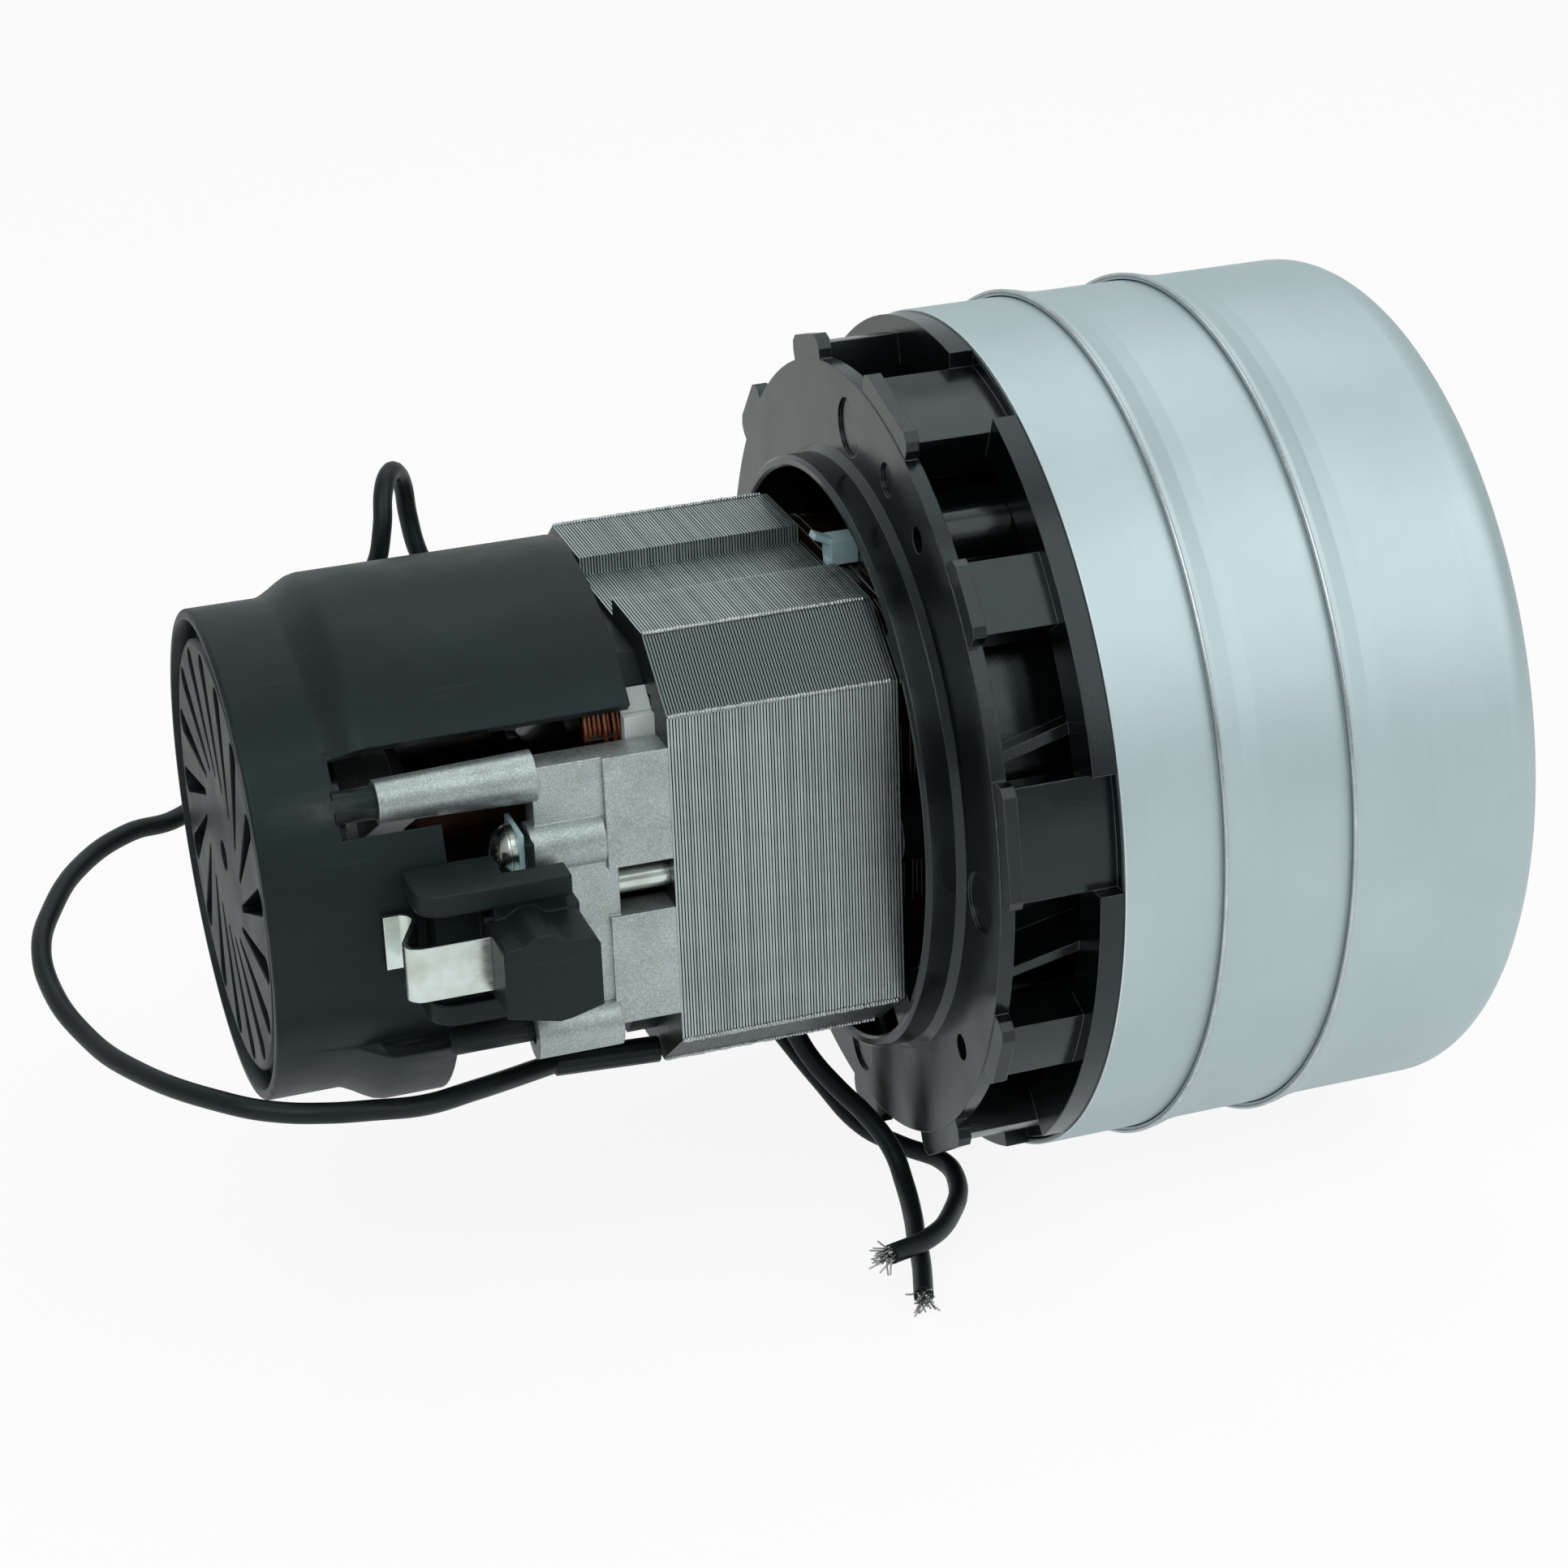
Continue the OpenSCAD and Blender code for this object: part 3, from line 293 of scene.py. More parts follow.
def moulded_black(name, dark, light, rough, grain, edge, shine=0.35, edge_highlight_and_wear=0.03):
    """Black moulded plastic with flow shading, a fine grain, scuffs, some dust and paler edges, partly worn by
    handling and partly a painted highlight.
    """
    finish = Finish(name, IOR=1.5, Specular_IOR_Level=shine, Specular_Tint=(0.88, 1.0, 1.03, 1))
    flow = finish.grain(22, detail=3)
    fine = finish.grain(grain, detail=2)
    shade = finish.ramp(flow, (0.3, dark), (0.7, light))
    specks = finish.ramp(finish.grain(3.0, detail=6), (0.64, 0.0), (0.82, (0.012, 0.0125, 0.013)))
    streaks = finish.grain(1.1, detail=4, stretch=(16, 1, 1))
    scuffs = finish.ramp(streaks, (0.62, 0.0), (0.8, (0.010, 0.0115, 0.012)))
    dusty = finish.blend(0.6, finish.blend(0.8, shade, scuffs, "ADD"), specks, "ADD")
    # Paler colour on every edge: partly worn by handling, partly a painted highlight of light catching the
    # edges.
    worn_and_highlighted_edges = finish.blend(finish.ramp(finish.grain(4, detail=4), (0.35, 0.15), (0.65, 1.0)), 0.0, edge_highlight_and_wear)
    finish.colour(finish.blend(finish.edges(0.25), dusty, worn_and_highlighted_edges, "ADD"))
    finish.roughness(finish.ramp(finish.grain(9, detail=5), (0.3, rough - 0.05), (0.7, rough + 0.06)))
    return finish.relief((fine, 0.25, 0.05), (flow, 0.08, 0.6), edge=edge)


def cast_metal():
    """Sand-like skin of a die casting, with fine bright grains, a few stains and bright lines on every edge,
    partly casting fins and partly a painted highlight.
    """
    finish = Finish("die_cast", Metallic=0.88, IOR=1.5)
    skin = finish.grain(0.7, detail=5)
    grains = finish.grain(0.28, detail=2)
    tone = finish.ramp(finish.grain(8, detail=4), (0.3, (0.38, 0.41, 0.41)), (0.7, (0.50, 0.535, 0.53)))
    stains = finish.ramp(finish.grain(5, detail=3), (0.62, 1.0), (0.8, (0.86, 0.84, 0.76)))
    sand = finish.ramp(grains, (0.3, 0.78), (0.52, 0.95), (0.70, 1.28))
    skin_tone = finish.blend(1.0, finish.blend(1.0, tone, stains, "MULTIPLY"), sand, "MULTIPLY")
    # Bright edge lines: partly casting fins, partly a painted highlight along every edge.
    patchy = finish.ramp(finish.grain(1.2, detail=3), (0.4, 0.0), (0.6, 0.8))
    fins_and_edge_highlight = finish.blend(1.0, finish.edges(0.3), patchy, "MULTIPLY")
    finish.colour(finish.blend(fins_and_edge_highlight, skin_tone, (0.85, 0.87, 0.86)))
    finish.roughness(finish.ramp(skin, (0.3, 0.36), (0.7, 0.52)))
    return finish.relief((skin, 0.25, 0.16), (grains, 0.3, 0.06), edge=0.35)


def plated_metal(name, dark, light, rough, edge, patch=4.0):
    """Plated or bare metal with faint patches and a fine scratch grain."""
    finish = Finish(name, Metallic=1.0, IOR=1.5)
    patches = finish.grain(patch, detail=5)
    scratch = finish.grain(0.6, detail=3, stretch=(12, 1, 1))
    tone = finish.ramp(patches, (0.3, dark), (0.72, light))
    finish.colour(finish.blend(0.5, tone, finish.ramp(scratch, (0.3, 0.9), (0.6, 1.0)), "MULTIPLY"))
    finish.roughness(finish.ramp(scratch, (0.3, rough), (0.7, rough + 0.14)))
    return finish.relief((scratch, 0.03, 0.02), (patches, 0.02, 0.2), edge=edge)


def shell_sheet():
    """Zinc-coated drawn sheet: satin, with faint draw lines round the shell, cloudiness and edges painted
    near-white as a highlight.
    """
    finish = Finish("shell_steel", Metallic=0.72, IOR=1.5)
    lines = finish.grain(0.8, detail=4, stretch=(1, 60, 1), place=finish.around())
    clouds = finish.grain(26, detail=5)
    flecks = finish.grain(0.9, detail=3)
    tone = finish.ramp(clouds, (0.3, (0.475, 0.545, 0.565)), (0.7, (0.520, 0.595, 0.615)))
    drawn = finish.ramp(lines, (0.3, (0.94, 0.942, 0.945)), (0.65, 1.0))
    specked = finish.ramp(flecks, (0.24, 0.82), (0.34, 1.0))
    sheet = finish.blend(0.4, finish.blend(0.5, tone, drawn, "MULTIPLY"), specked, "MULTIPLY")
    # Painted highlight: the edges of the sheet are coloured near-white, as if they caught the light.
    lip = finish.edges(0.5)
    finish.colour(finish.blend(lip, sheet, (0.97, 0.99, 1.0)))
    finish.roughness(finish.blend(lip, finish.ramp(lines, (0.3, 0.44), (0.7, 0.50)), 0.3))
    return finish.relief((lines, 0.04, 0.03), (clouds, 0.05, 0.5), edge=0.45)


def sheet_edges():
    """Edges of the laminations: each sheet has its own tone, with smear along the stack; painted shade darkens
    the slanted bevels and makes the gaps between sheets and the stack's ends near-black.
    """
    finish = Finish("lamination", Metallic=0.9, IOR=1.5)
    smear = finish.grain(5, detail=5, stretch=(3, 1, 1))
    fine = finish.grain(0.7, detail=3)
    tone = finish.ramp(finish.attribute("sheet"), (0.0, (0.395, 0.43, 0.432)), (1.0, (0.535, 0.58, 0.582)))
    cloud = finish.ramp(smear, (0.3, (0.82, 0.83, 0.84)), (0.7, 1.0))
    clean = finish.blend(0.8, tone, cloud, "MULTIPLY")
    # Painted shade: bevel faces that slant between the side and the top are coloured darker.
    tone_with_shaded_bevels = finish.blend(finish.bevels(), clean, (0.17, 0.19, 0.195))
    # Painted shade: faces looking along the shaft, in the gaps between sheets and on the stack's ends, are
    # coloured near-black.
    finish.colour(finish.blend(finish.flat_sides(), tone_with_shaded_bevels, (0.045, 0.05, 0.052)))
    finish.roughness(finish.ramp(fine, (0.3, 0.30), (0.7, 0.46)))
    return finish.relief((fine, 0.2, 0.05))


def enamelled_copper(name, dark, light):
    """Copper wire under a clear enamel; its nearly black use is painted shade."""
    finish = Finish(name, Metallic=0.55, IOR=1.5, Coat_Weight=0.7, Coat_Roughness=0.12)
    finish.colour(finish.ramp(finish.grain(5, detail=4), (0.3, dark), (0.7, light)))
    finish.roughness(finish.ramp(finish.grain(0.8, detail=3), (0.3, 0.26), (0.7, 0.4)))
    return finish.relief((finish.grain(1.2, detail=3), 0.1, 0.08))


def soft_plastic(name, dark, light, rough, edge):
    """Pale nylon or moulded insulator that lets some light in."""
    finish = Finish(name, IOR=1.5, Subsurface_Weight=0.15, Subsurface_Scale=0.002)
    finish.colour(finish.ramp(finish.grain(6, detail=4), (0.3, dark), (0.7, light)))
    finish.roughness(finish.ramp(finish.grain(1.5, detail=3), (0.3, rough - 0.06), (0.7, rough + 0.08)))
    return finish.relief((finish.grain(0.5, detail=2), 0.15, 0.04), edge=edge)


cap_plastic = moulded_black(
    "cap_plastic", dark=(0.0062, 0.0102, 0.0112), light=(0.0098, 0.0156, 0.0172),
    rough=0.42, grain=0.35, edge=0.45, shine=0.21, edge_highlight_and_wear=0.05)
bracket_plastic = moulded_black(
    "bracket_plastic", dark=(0.0012, 0.0020, 0.0023), light=(0.0026, 0.0040, 0.0045),
    rough=0.20, grain=0.6, edge=0.3, shine=0.50, edge_highlight_and_wear=0.16)
holder_plastic = moulded_black(
    "holder_plastic", dark=(0.0056, 0.0094, 0.0102), light=(0.0094, 0.0144, 0.0156),
    rough=0.44, grain=0.3, edge=0.7, shine=0.24, edge_highlight_and_wear=0.06)
lead_rubber = moulded_black(
    "lead_rubber", dark=(0.0048, 0.0074, 0.0082), light=(0.0082, 0.0116, 0.0128),
    rough=0.40, grain=0.5, edge=0.1, shine=0.25)
carbon = moulded_black(
    "carbon", dark=(0.018, 0.018, 0.019), light=(0.04, 0.04, 0.042), rough=0.5, grain=0.25, edge=0.1)
phenolic = moulded_black(
    "phenolic", dark=(0.035, 0.022, 0.014), light=(0.06, 0.038, 0.024), rough=0.4, grain=0.5, edge=0.2)
die_cast = cast_metal()
zinc = plated_metal(
    "zinc", dark=(0.54, 0.56, 0.48), light=(0.76, 0.81, 0.80), rough=0.16, edge=0.2, patch=6.0)
bearing_steel = plated_metal(
    "bearing_steel", dark=(0.45, 0.46, 0.47), light=(0.62, 0.63, 0.64), rough=0.16, edge=0.15)
spring_steel = plated_metal(
    "spring_steel", dark=(0.36, 0.37, 0.38), light=(0.52, 0.53, 0.54), rough=0.24, edge=0.0)
fan_sheet = plated_metal(
    "fan_sheet", dark=(0.50, 0.52, 0.53), light=(0.64, 0.66, 0.67), rough=0.30, edge=0.1, patch=12.0)
# Brass and commutator copper are nearly black: partly carbon film and tarnish, mostly painted shade of the
# motor's dark inside.
brass = plated_metal(
    "brass", dark=(0.07, 0.05, 0.025), light=(0.12, 0.085, 0.04), rough=0.34, edge=0.15)
commutator_copper = plated_metal(
    "commutator_copper", dark=(0.035, 0.018, 0.011), light=(0.075, 0.036, 0.02), rough=0.3, edge=0.1)
tinned_wire = plated_metal(
    "tinned_wire", dark=(0.34, 0.34, 0.33), light=(0.56, 0.55, 0.53), rough=0.26, edge=0.0, patch=1.5)
dark_core = plated_metal(
    "dark_core", dark=(0.05, 0.05, 0.052), light=(0.10, 0.10, 0.105), rough=0.42, edge=0.1)
pale_plastic = soft_plastic(
    "pale_plastic", dark=(0.33, 0.47, 0.50), light=(0.43, 0.58, 0.61), rough=0.32, edge=0.2)
white_plastic = soft_plastic(
    "white_plastic", dark=(0.60, 0.62, 0.60), light=(0.72, 0.74, 0.72), rough=0.42, edge=0.2)
copper = enamelled_copper("copper", dark=(0.16, 0.042, 0.015), light=(0.34, 0.105, 0.035))
# Nearly black copper: painted shade on the coils, the winding and the right-hand coil ends inside the motor.
copper_painted_dark = enamelled_copper(
    "copper_painted_dark", dark=(0.010, 0.0045, 0.003), light=(0.030, 0.012, 0.006))
lamination = sheet_edges()
shell_steel = shell_sheet()

FINISHES = {
    cap_plastic: ["vent_cap"],
    bracket_plastic: ["fan_bracket", "cooling_fan"],
    holder_plastic: ["brush_holder_front", "brush_holder_rear", "coil_former_top", "coil_former_bottom"],
    lead_rubber: ["splice_sleeve", "lead_long", "lead_short"],
    die_cast: ["end_bracket"],
    zinc: ["bracket_screws", "bracket_washers", "through_bolts", "brush_terminal_front",
           "brush_terminal_rear", "fan_nut", "fan_washers", "fan_spacers", "bearing_spacer"],
    bearing_steel: ["rear_bearing_outer", "front_bearing_outer", "rear_bearing_inner",
                    "front_bearing_inner", "rear_bearing_balls", "front_bearing_balls", "shaft"],
    spring_steel: ["brush_spring_front", "brush_spring_rear"],
    fan_sheet: ["fan_stage_1", "fan_stage_2", "fan_stage_3", "guide_plate_1", "guide_plate_2"],
    brass: ["brush_tube_front", "brush_tube_rear"],
    commutator_copper: ["commutator_bars"],
    tinned_wire: ["lead_tips"],
    carbon: ["carbon_brush_front", "carbon_brush_rear"],
    phenolic: ["commutator_hub"],
    pale_plastic: ["cable_tie", "insulating_tabs"],
    white_plastic: ["coil_insulator_top", "coil_insulator_bottom"],
    # Painted shade: field coils and armature winding in nearly black copper.
    copper_painted_dark: ["field_coil_top", "field_coil_bottom", "armature_winding"],
    lamination: ["stator_core"],
    dark_core: ["armature_core"],
    shell_steel: ["base_shell", "middle_shell", "inlet_shell"],
}


def dress(piece, material):
    piece.data.materials.clear()
    piece.data.materials.append(material)


def settle(piece, material):
    """Dresses a piece of the scene and puts it on the housing."""
    dress(piece, material)
    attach(piece, "housing")


for material, names in FINISHES.items():
    for name in names:
        dress(nodes[name], material)
for lead in (lead_long, lead_short):
    dress(lead, lead_rubber)


# Help with meshes

def plain_mesh(name, points, edges=()):
    """A mesh of points in millimetres and the edges between them."""
    mesh = bpy.data.meshes.new(name)
    mesh.from_pydata([Vector(p) * MM for p in points], list(edges), [])
    return mesh


def mesh_from(solid, name):
    mesh = bpy.data.meshes.new(name)
    solid.to_mesh(mesh)
    solid.free()
    return mesh


def apply_modifiers(piece):
    """Gives a piece the mesh that its modifiers make."""
    bpy.context.view_layer.update()
    shown = piece.evaluated_get(bpy.context.evaluated_depsgraph_get())
    plain = bpy.data.meshes.new_from_object(shown)
    piece.modifiers.clear()
    piece.data = plain


def merged_copy(node):
    """A CAD node's mesh as one closed skin, to be changed."""
    solid = bmesh.new()
    solid.from_mesh(nodes[node].data)
    bmesh.ops.remove_doubles(solid, verts=solid.verts, dist=1e-6)
    return solid


def smooth_faces(mesh):
    """Smooth faces with the corners kept sharp."""
    mesh.shade_smooth()
    mesh.set_sharp_from_angle(angle=math.radians(28))


def arc_points(radius, start, end, count, y=0.0):
    """Points on an arc in Y and Z, in degrees from +Y to +Z."""
    steps = [math.radians(start + (end - start) * i / (count - 1)) for i in range(count)]
    return [(y + radius * math.cos(a), radius * math.sin(a)) for a in steps]


def full_turn(step):
    """Angles all the way round, in degrees."""
    return [step * i for i in range(int(360 / step) + 1)]


def sector(name, section, angles):
    """A closed solid of (x, r) corners swept about the shaft through the angles, in degrees."""
    closed = angles[-1] - angles[0] == 360
    swept = bmesh.new()
    loops = []
    for angle in angles[:-1] if closed else angles:
        a = math.radians(angle)
        loops.append([swept.verts.new((x * MM, r * MM * math.cos(a), r * MM * math.sin(a)))
                      for x, r in section])
    for first, second in zip(loops, loops[1:] + loops[:1] if closed else loops[1:]):
        for i in range(len(section)):
            j = (i + 1) % len(section)
            swept.faces.new((first[i], first[j], second[j], second[i]))
    if not closed:
        swept.faces.new(loops[0])
        swept.faces.new(loops[-1])
    bmesh.ops.recalc_face_normals(swept, faces=swept.faces)
    return added(name, mesh_from(swept, name))


# Repeated pieces: each tree has named inputs and ends in plain geometry with its finish

class Pattern:
    """A geometry tree with named inputs."""

    def __init__(self, name, **inputs):
        self.tree = bpy.data.node_groups.new(name, "GeometryNodeTree")
        self.tree.interface.new_socket("Geometry", in_out="INPUT", socket_type="NodeSocketGeometry")
        self.tree.interface.new_socket("Geometry", in_out="OUTPUT", socket_type="NodeSocketGeometry")
        self.values = {}
        for label, value in inputs.items():
            kind = "NodeSocketInt" if isinstance(value, int) else "NodeSocketFloat"
            socket = self.tree.interface.new_socket(label, in_out="INPUT", socket_type=kind)
            self.values[socket.identifier] = value
        self.given = self.tree.nodes.new("NodeGroupInput")
        self.result = self.tree.nodes.new("NodeGroupOutput")

    def node(self, kind, links=None, **settings):
        """A node's outputs; links maps an input's name or number to an output or a plain value."""
        made = self.tree.nodes.new(kind)
        for label, value in settings.items():
            setattr(made, label, value)
        for key, source in (links or {}).items():
            feed(self.tree, source, made.inputs[key])
        return made.outputs

    def value(self, label):
        return self.given.outputs[label]

    def math(self, operation, first, second=0.0):
        return self.node("ShaderNodeMath", {0: first, 1: second}, operation=operation)[0]

    def vector(self, x=0.0, y=0.0, z=0.0):
        return self.node("ShaderNodeCombineXYZ", {0: x, 1: y, 2: z})[0]

    def scaled(self, vector, amount):
        return self.node("ShaderNodeVectorMath", {0: vector, "Scale": amount}, operation="SCALE")[0]

    def chance(self, low, high, seed, kind="FLOAT"):
        """A seeded random value, a float or a vector."""
        first, second, result = (0, 1, 0) if kind == "FLOAT_VECTOR" else (2, 3, 1)
        links = {first: low, second: high, "Seed": seed}
        return self.node("FunctionNodeRandomValue", links, data_type=kind)[result]

    def given_curve(self):
        """The base mesh as a curve."""
        return self.node("GeometryNodeMeshToCurve", {0: self.given.outputs[0]})[0]

    def row(self, count):
        """So many points along the shaft, by the inputs start and pitch."""
        return self.node("GeometryNodeMeshLine", {
            "Count": count, "Start Location": self.vector(self.value("start")),
            "Offset": self.vector(self.value("pitch")),
        })[0]

    def copies(self, points, piece, **links):
        return self.node("GeometryNodeInstanceOnPoints", {"Points": points, "Instance": piece, **links})[0]

    def marked(self, copies, label, value, kind):
        """Copies that each carry a named value of their own."""
        return self.node("GeometryNodeStoreNamedAttribute", {"Geometry": copies, "Name": label, "Value": value},
                         domain="INSTANCE", data_type=kind)[0]

    def real(self, copies):
        return self.node("GeometryNodeRealizeInstances", {0: copies})[0]

    def moved(self, geometry, offset):
        return self.node("GeometryNodeSetPosition", {"Geometry": geometry, "Offset": offset})[0]

    def wires(self, curves, radius, sides):
        """Round wires on curves."""
        ring = self.node("GeometryNodeCurvePrimitiveCircle", {"Resolution": sides, "Radius": radius})[0]
        skin = self.node("GeometryNodeCurveToMesh", {"Curve": curves, "Profile Curve": ring, "Fill Caps": True})
        return self.smooth(skin[0])

    def smooth(self, geometry):
        return self.node("GeometryNodeSetShadeSmooth", {"Geometry": geometry})[0]

    def make(self, name, mesh, geometry, material, replaces=()):
        """Runs the tree on a base mesh and keeps the result as a plain piece."""
        done = self.node("GeometryNodeSetMaterial", {"Geometry": self.real(geometry), "Material": material})[0]
        self.tree.links.new(done, self.result.inputs[0])
        piece = added(name, mesh)
        modifier = piece.modifiers.new(name, "NODES")
        modifier.node_group = self.tree
        for identifier, value in self.values.items():
            modifier[identifier] = value
        apply_modifiers(piece)
        settle(piece, material)
        if replaces:
            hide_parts(*replaces)
        return piece


# Vent cap: its solid with the vented disc brought forward, a channel round the disc, and a cheek that
# closes the low skirt's front edge; places along the shaft are counted from the rim

DISC_ZONE = 4.2
DISC_RADIUS = 35.05
DISC_LIFT = 3.0
CHANNEL_START, CHANNEL_FLOOR = -1.3, 3.9
CHANNEL_INNER, CHANNEL_OUTER = 35.5, 38.7
CHEEK_START, CHEEK_BEND, CHEEK_END = 13.3, 19.1, 28.4
CHEEK_INNER, CHEEK_FRONT, CHEEK_OUTER = 39.4, 40.6, 43.2
CHEEK_ANGLES = [210.7, 211.7, 212.7]


def vent_cap_shell():
    solid = merged_copy("vent_cap")
    for corner in solid.verts:
        out = math.hypot(corner.co.y, corner.co.z)
        if corner.co.x < (CAP_RIM + DISC_ZONE) * MM and out < DISC_RADIUS * MM:
            corner.co.x -= DISC_LIFT * MM
    piece = added("vent_cap_shell", mesh_from(solid, "vent_cap_shell"))
    start, floor = CAP_RIM + CHANNEL_START, CAP_RIM + CHANNEL_FLOOR
    channel = sector("channel", [(start, CHANNEL_INNER), (start, CHANNEL_OUTER),
                                 (floor, CHANNEL_OUTER), (floor, CHANNEL_INNER)], full_turn(2.5))
    start, end = CAP_RIM + CHEEK_START, CAP_RIM + CHEEK_END
    cheek = sector("cheek", [(start, CHEEK_INNER), (start, CHEEK_FRONT), (CAP_RIM + CHEEK_BEND, CHEEK_OUTER),
                             (end, CHEEK_OUTER), (end, CHEEK_INNER)], CHEEK_ANGLES)
    for tool, operation in ((channel, "DIFFERENCE"), (cheek, "UNION")):
        cut = piece.modifiers.new(tool.name, "BOOLEAN")
        cut.object = tool
        cut.operation = operation
        cut.solver = "EXACT"
    apply_modifiers(piece)
    for tool in (channel, cheek):
        bpy.data.objects.remove(tool)
    smooth_faces(piece.data)
    settle(piece, cap_plastic)
    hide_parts("vent_cap")


vent_cap_shell()


# Coil formers: the web over the coil is black, the legs beside it are white

LEG_HEIGHT = 29.6


def split_former(node, name, side, web):
    """The part of a former beyond (web) or before (legs) the height where its colour changes."""
    solid = merged_copy(node)
    bmesh.ops.bisect_plane(
        solid, geom=solid.verts[:] + solid.edges[:] + solid.faces[:],
        plane_co=(0, 0, side * LEG_HEIGHT * MM), plane_no=(0, 0, side), clear_inner=web, clear_outer=not web)
    bmesh.ops.holes_fill(solid, edges=[edge for edge in solid.edges if edge.is_boundary], sides=0)
    bmesh.ops.recalc_face_normals(solid, faces=solid.faces)
    piece = added(name, mesh_from(solid, name))
    smooth_faces(piece.data)
    if web:
        settle(piece, holder_plastic)
    else:
        settle(piece, white_plastic)
    return piece


for end, side in (("top", 1), ("bottom", -1)):
    former_web = split_former("coil_former_" + end, "former_web_" + end, side, True)
    split_former("coil_former_" + end, "former_legs_" + end, side, False)
    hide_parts("coil_former_" + end)


# Lamination stack: one stamped sheet, repeated, with weld beads along the corners

SHEETS = 75
SHEET_GAP = 0.19
SHEET_SCATTER = 0.012
STACK_HALF = 38.0
CORNER_SIDE, CORNER_TOP = 28.5, 26.0
NOTCH_HALF, NOTCH_DEPTH = 9.5, 3.0
BORE_RADIUS, SHOE_RADIUS, SHOE_TIP_ANGLE = 22.4, 26.0, 38.0
POLE_HALF = 15.0
WINDOW_HALF, WINDOW_TOP = 29.4, 28.8
BOLT_PLACE, BOLT_RADIUS, BOLT_CORNERS = 33.5, 2.5, 24
BEAD_PITCH, BEAD_RADIUS = 0.5, 0.45
BEAD_START, BEAD_END = 0.4, 1.5


def with_opposite(points):
    """Points in Y and Z, and the same points half a turn on."""
    return points + [(-y, -z) for y, z in points]


def stamped_sheet(thickness):
    """One lamination with its pole bore, coil windows and bolt holes."""
    notch_floor = STACK_HALF - NOTCH_DEPTH
    outline = with_opposite([
        (STACK_HALF, CORNER_SIDE), (CORNER_TOP, STACK_HALF), (NOTCH_HALF, STACK_HALF),
        (NOTCH_HALF, notch_floor), (-NOTCH_HALF, notch_floor), (-NOTCH_HALF, STACK_HALF),
        (-CORNER_TOP, STACK_HALF), (-STACK_HALF, CORNER_SIDE),
    ])
    shoe_root_angle = math.degrees(math.acos(POLE_HALF / SHOE_RADIUS))
    quarter = [(WINDOW_HALF, 0.0), (WINDOW_HALF, WINDOW_TOP), (POLE_HALF, WINDOW_TOP)]
    quarter += arc_points(SHOE_RADIUS, shoe_root_angle, SHOE_TIP_ANGLE, 8)
    quarter += arc_points(BORE_RADIUS, SHOE_TIP_ANGLE, 90, 14)
    upper = quarter + [(-y, z) for y, z in reversed(quarter)][1:]
    window = upper + [(-y, -z) for y, z in upper[1:-1]]
    hole_end = 360 - 360 / BOLT_CORNERS
    holes = [arc_points(BOLT_RADIUS, 0, hole_end, BOLT_CORNERS, y=side * BOLT_PLACE) for side in (-1, 1)]
    sheet = bmesh.new()
    for loop in [outline, window] + holes:
        corners = [sheet.verts.new((0, y * MM, z * MM)) for y, z in loop]
        for first, second in zip(corners, corners[1:] + corners[:1]):
            sheet.edges.new((first, second))
    bmesh.ops.triangle_fill(sheet, use_beauty=True, use_dissolve=False, edges=sheet.edges)
    made = bmesh.ops.extrude_face_region(sheet, geom=sheet.faces[:])
    for corner in made["geom"]:
        if isinstance(corner, bmesh.types.BMVert):
            corner.co.x += thickness * MM
    bmesh.ops.recalc_face_normals(sheet, faces=sheet.faces)
    return mesh_from(sheet, "stamped_sheet")


def stack_of_sheets():
    """The stack, each sheet a little out of line and with a tone of its own."""
    pitch = (STACK_RIGHT - STACK_LEFT) / SHEETS
    tree = Pattern("stack_of_sheets", sheets=SHEETS, pitch=pitch * MM, start=STACK_LEFT * MM,
                   scatter=SHEET_SCATTER * MM, seed=7)
    shift = tree.chance((0, -1, -1), (0, 1, 1), tree.value("seed"), "FLOAT_VECTOR")
    row = tree.moved(tree.row(tree.value("sheets")), tree.scaled(shift, tree.value("scatter")))
    tone = tree.chance(0.0, 1.0, tree.math("ADD", tree.value("seed"), 3.0))
    sheets = tree.marked(tree.copies(row, tree.given.outputs[0]), "sheet", tone, "FLOAT")
    tree.make("lamination_stack", stamped_sheet(pitch - SHEET_GAP), sheets, lamination,
              ["stator_core"])


def weld_beads():
    """Short overlapping beads along each welded edge."""
    ends = []
    for y, z in with_opposite([(STACK_HALF, CORNER_SIDE), (CORNER_TOP, STACK_HALF),
                               (-CORNER_TOP, STACK_HALF), (-STACK_HALF, CORNER_SIDE)]):
        ends += [(STACK_LEFT + BEAD_START, y, z), (STACK_RIGHT - BEAD_END, y, z)]
    edges = [(i, i + 1) for i in range(0, len(ends), 2)]
    tree = Pattern("weld_beads", pitch=BEAD_PITCH * MM, radius=BEAD_RADIUS * MM, seed=11)
    spots = tree.node("GeometryNodeCurveToPoints", {"Curve": tree.given_curve(), "Length": tree.value("pitch")},
                      mode="LENGTH")[0]
    drop = tree.node("GeometryNodeMeshIcoSphere", {"Radius": tree.value("radius"), "Subdivisions": 2})[0]
    size = tree.chance((0.75, 0.7, 0.7), (1.15, 1.1, 1.1), tree.value("seed"), "FLOAT_VECTOR")
    beads = tree.smooth(tree.copies(spots, drop, Scale=size))
    tree.make("weld_beads", plain_mesh("weld_lines", ends, edges), beads, spring_steel)


stack_of_sheets()
weld_beads()


# Coil ends: wires laid side by side round the coil's outline

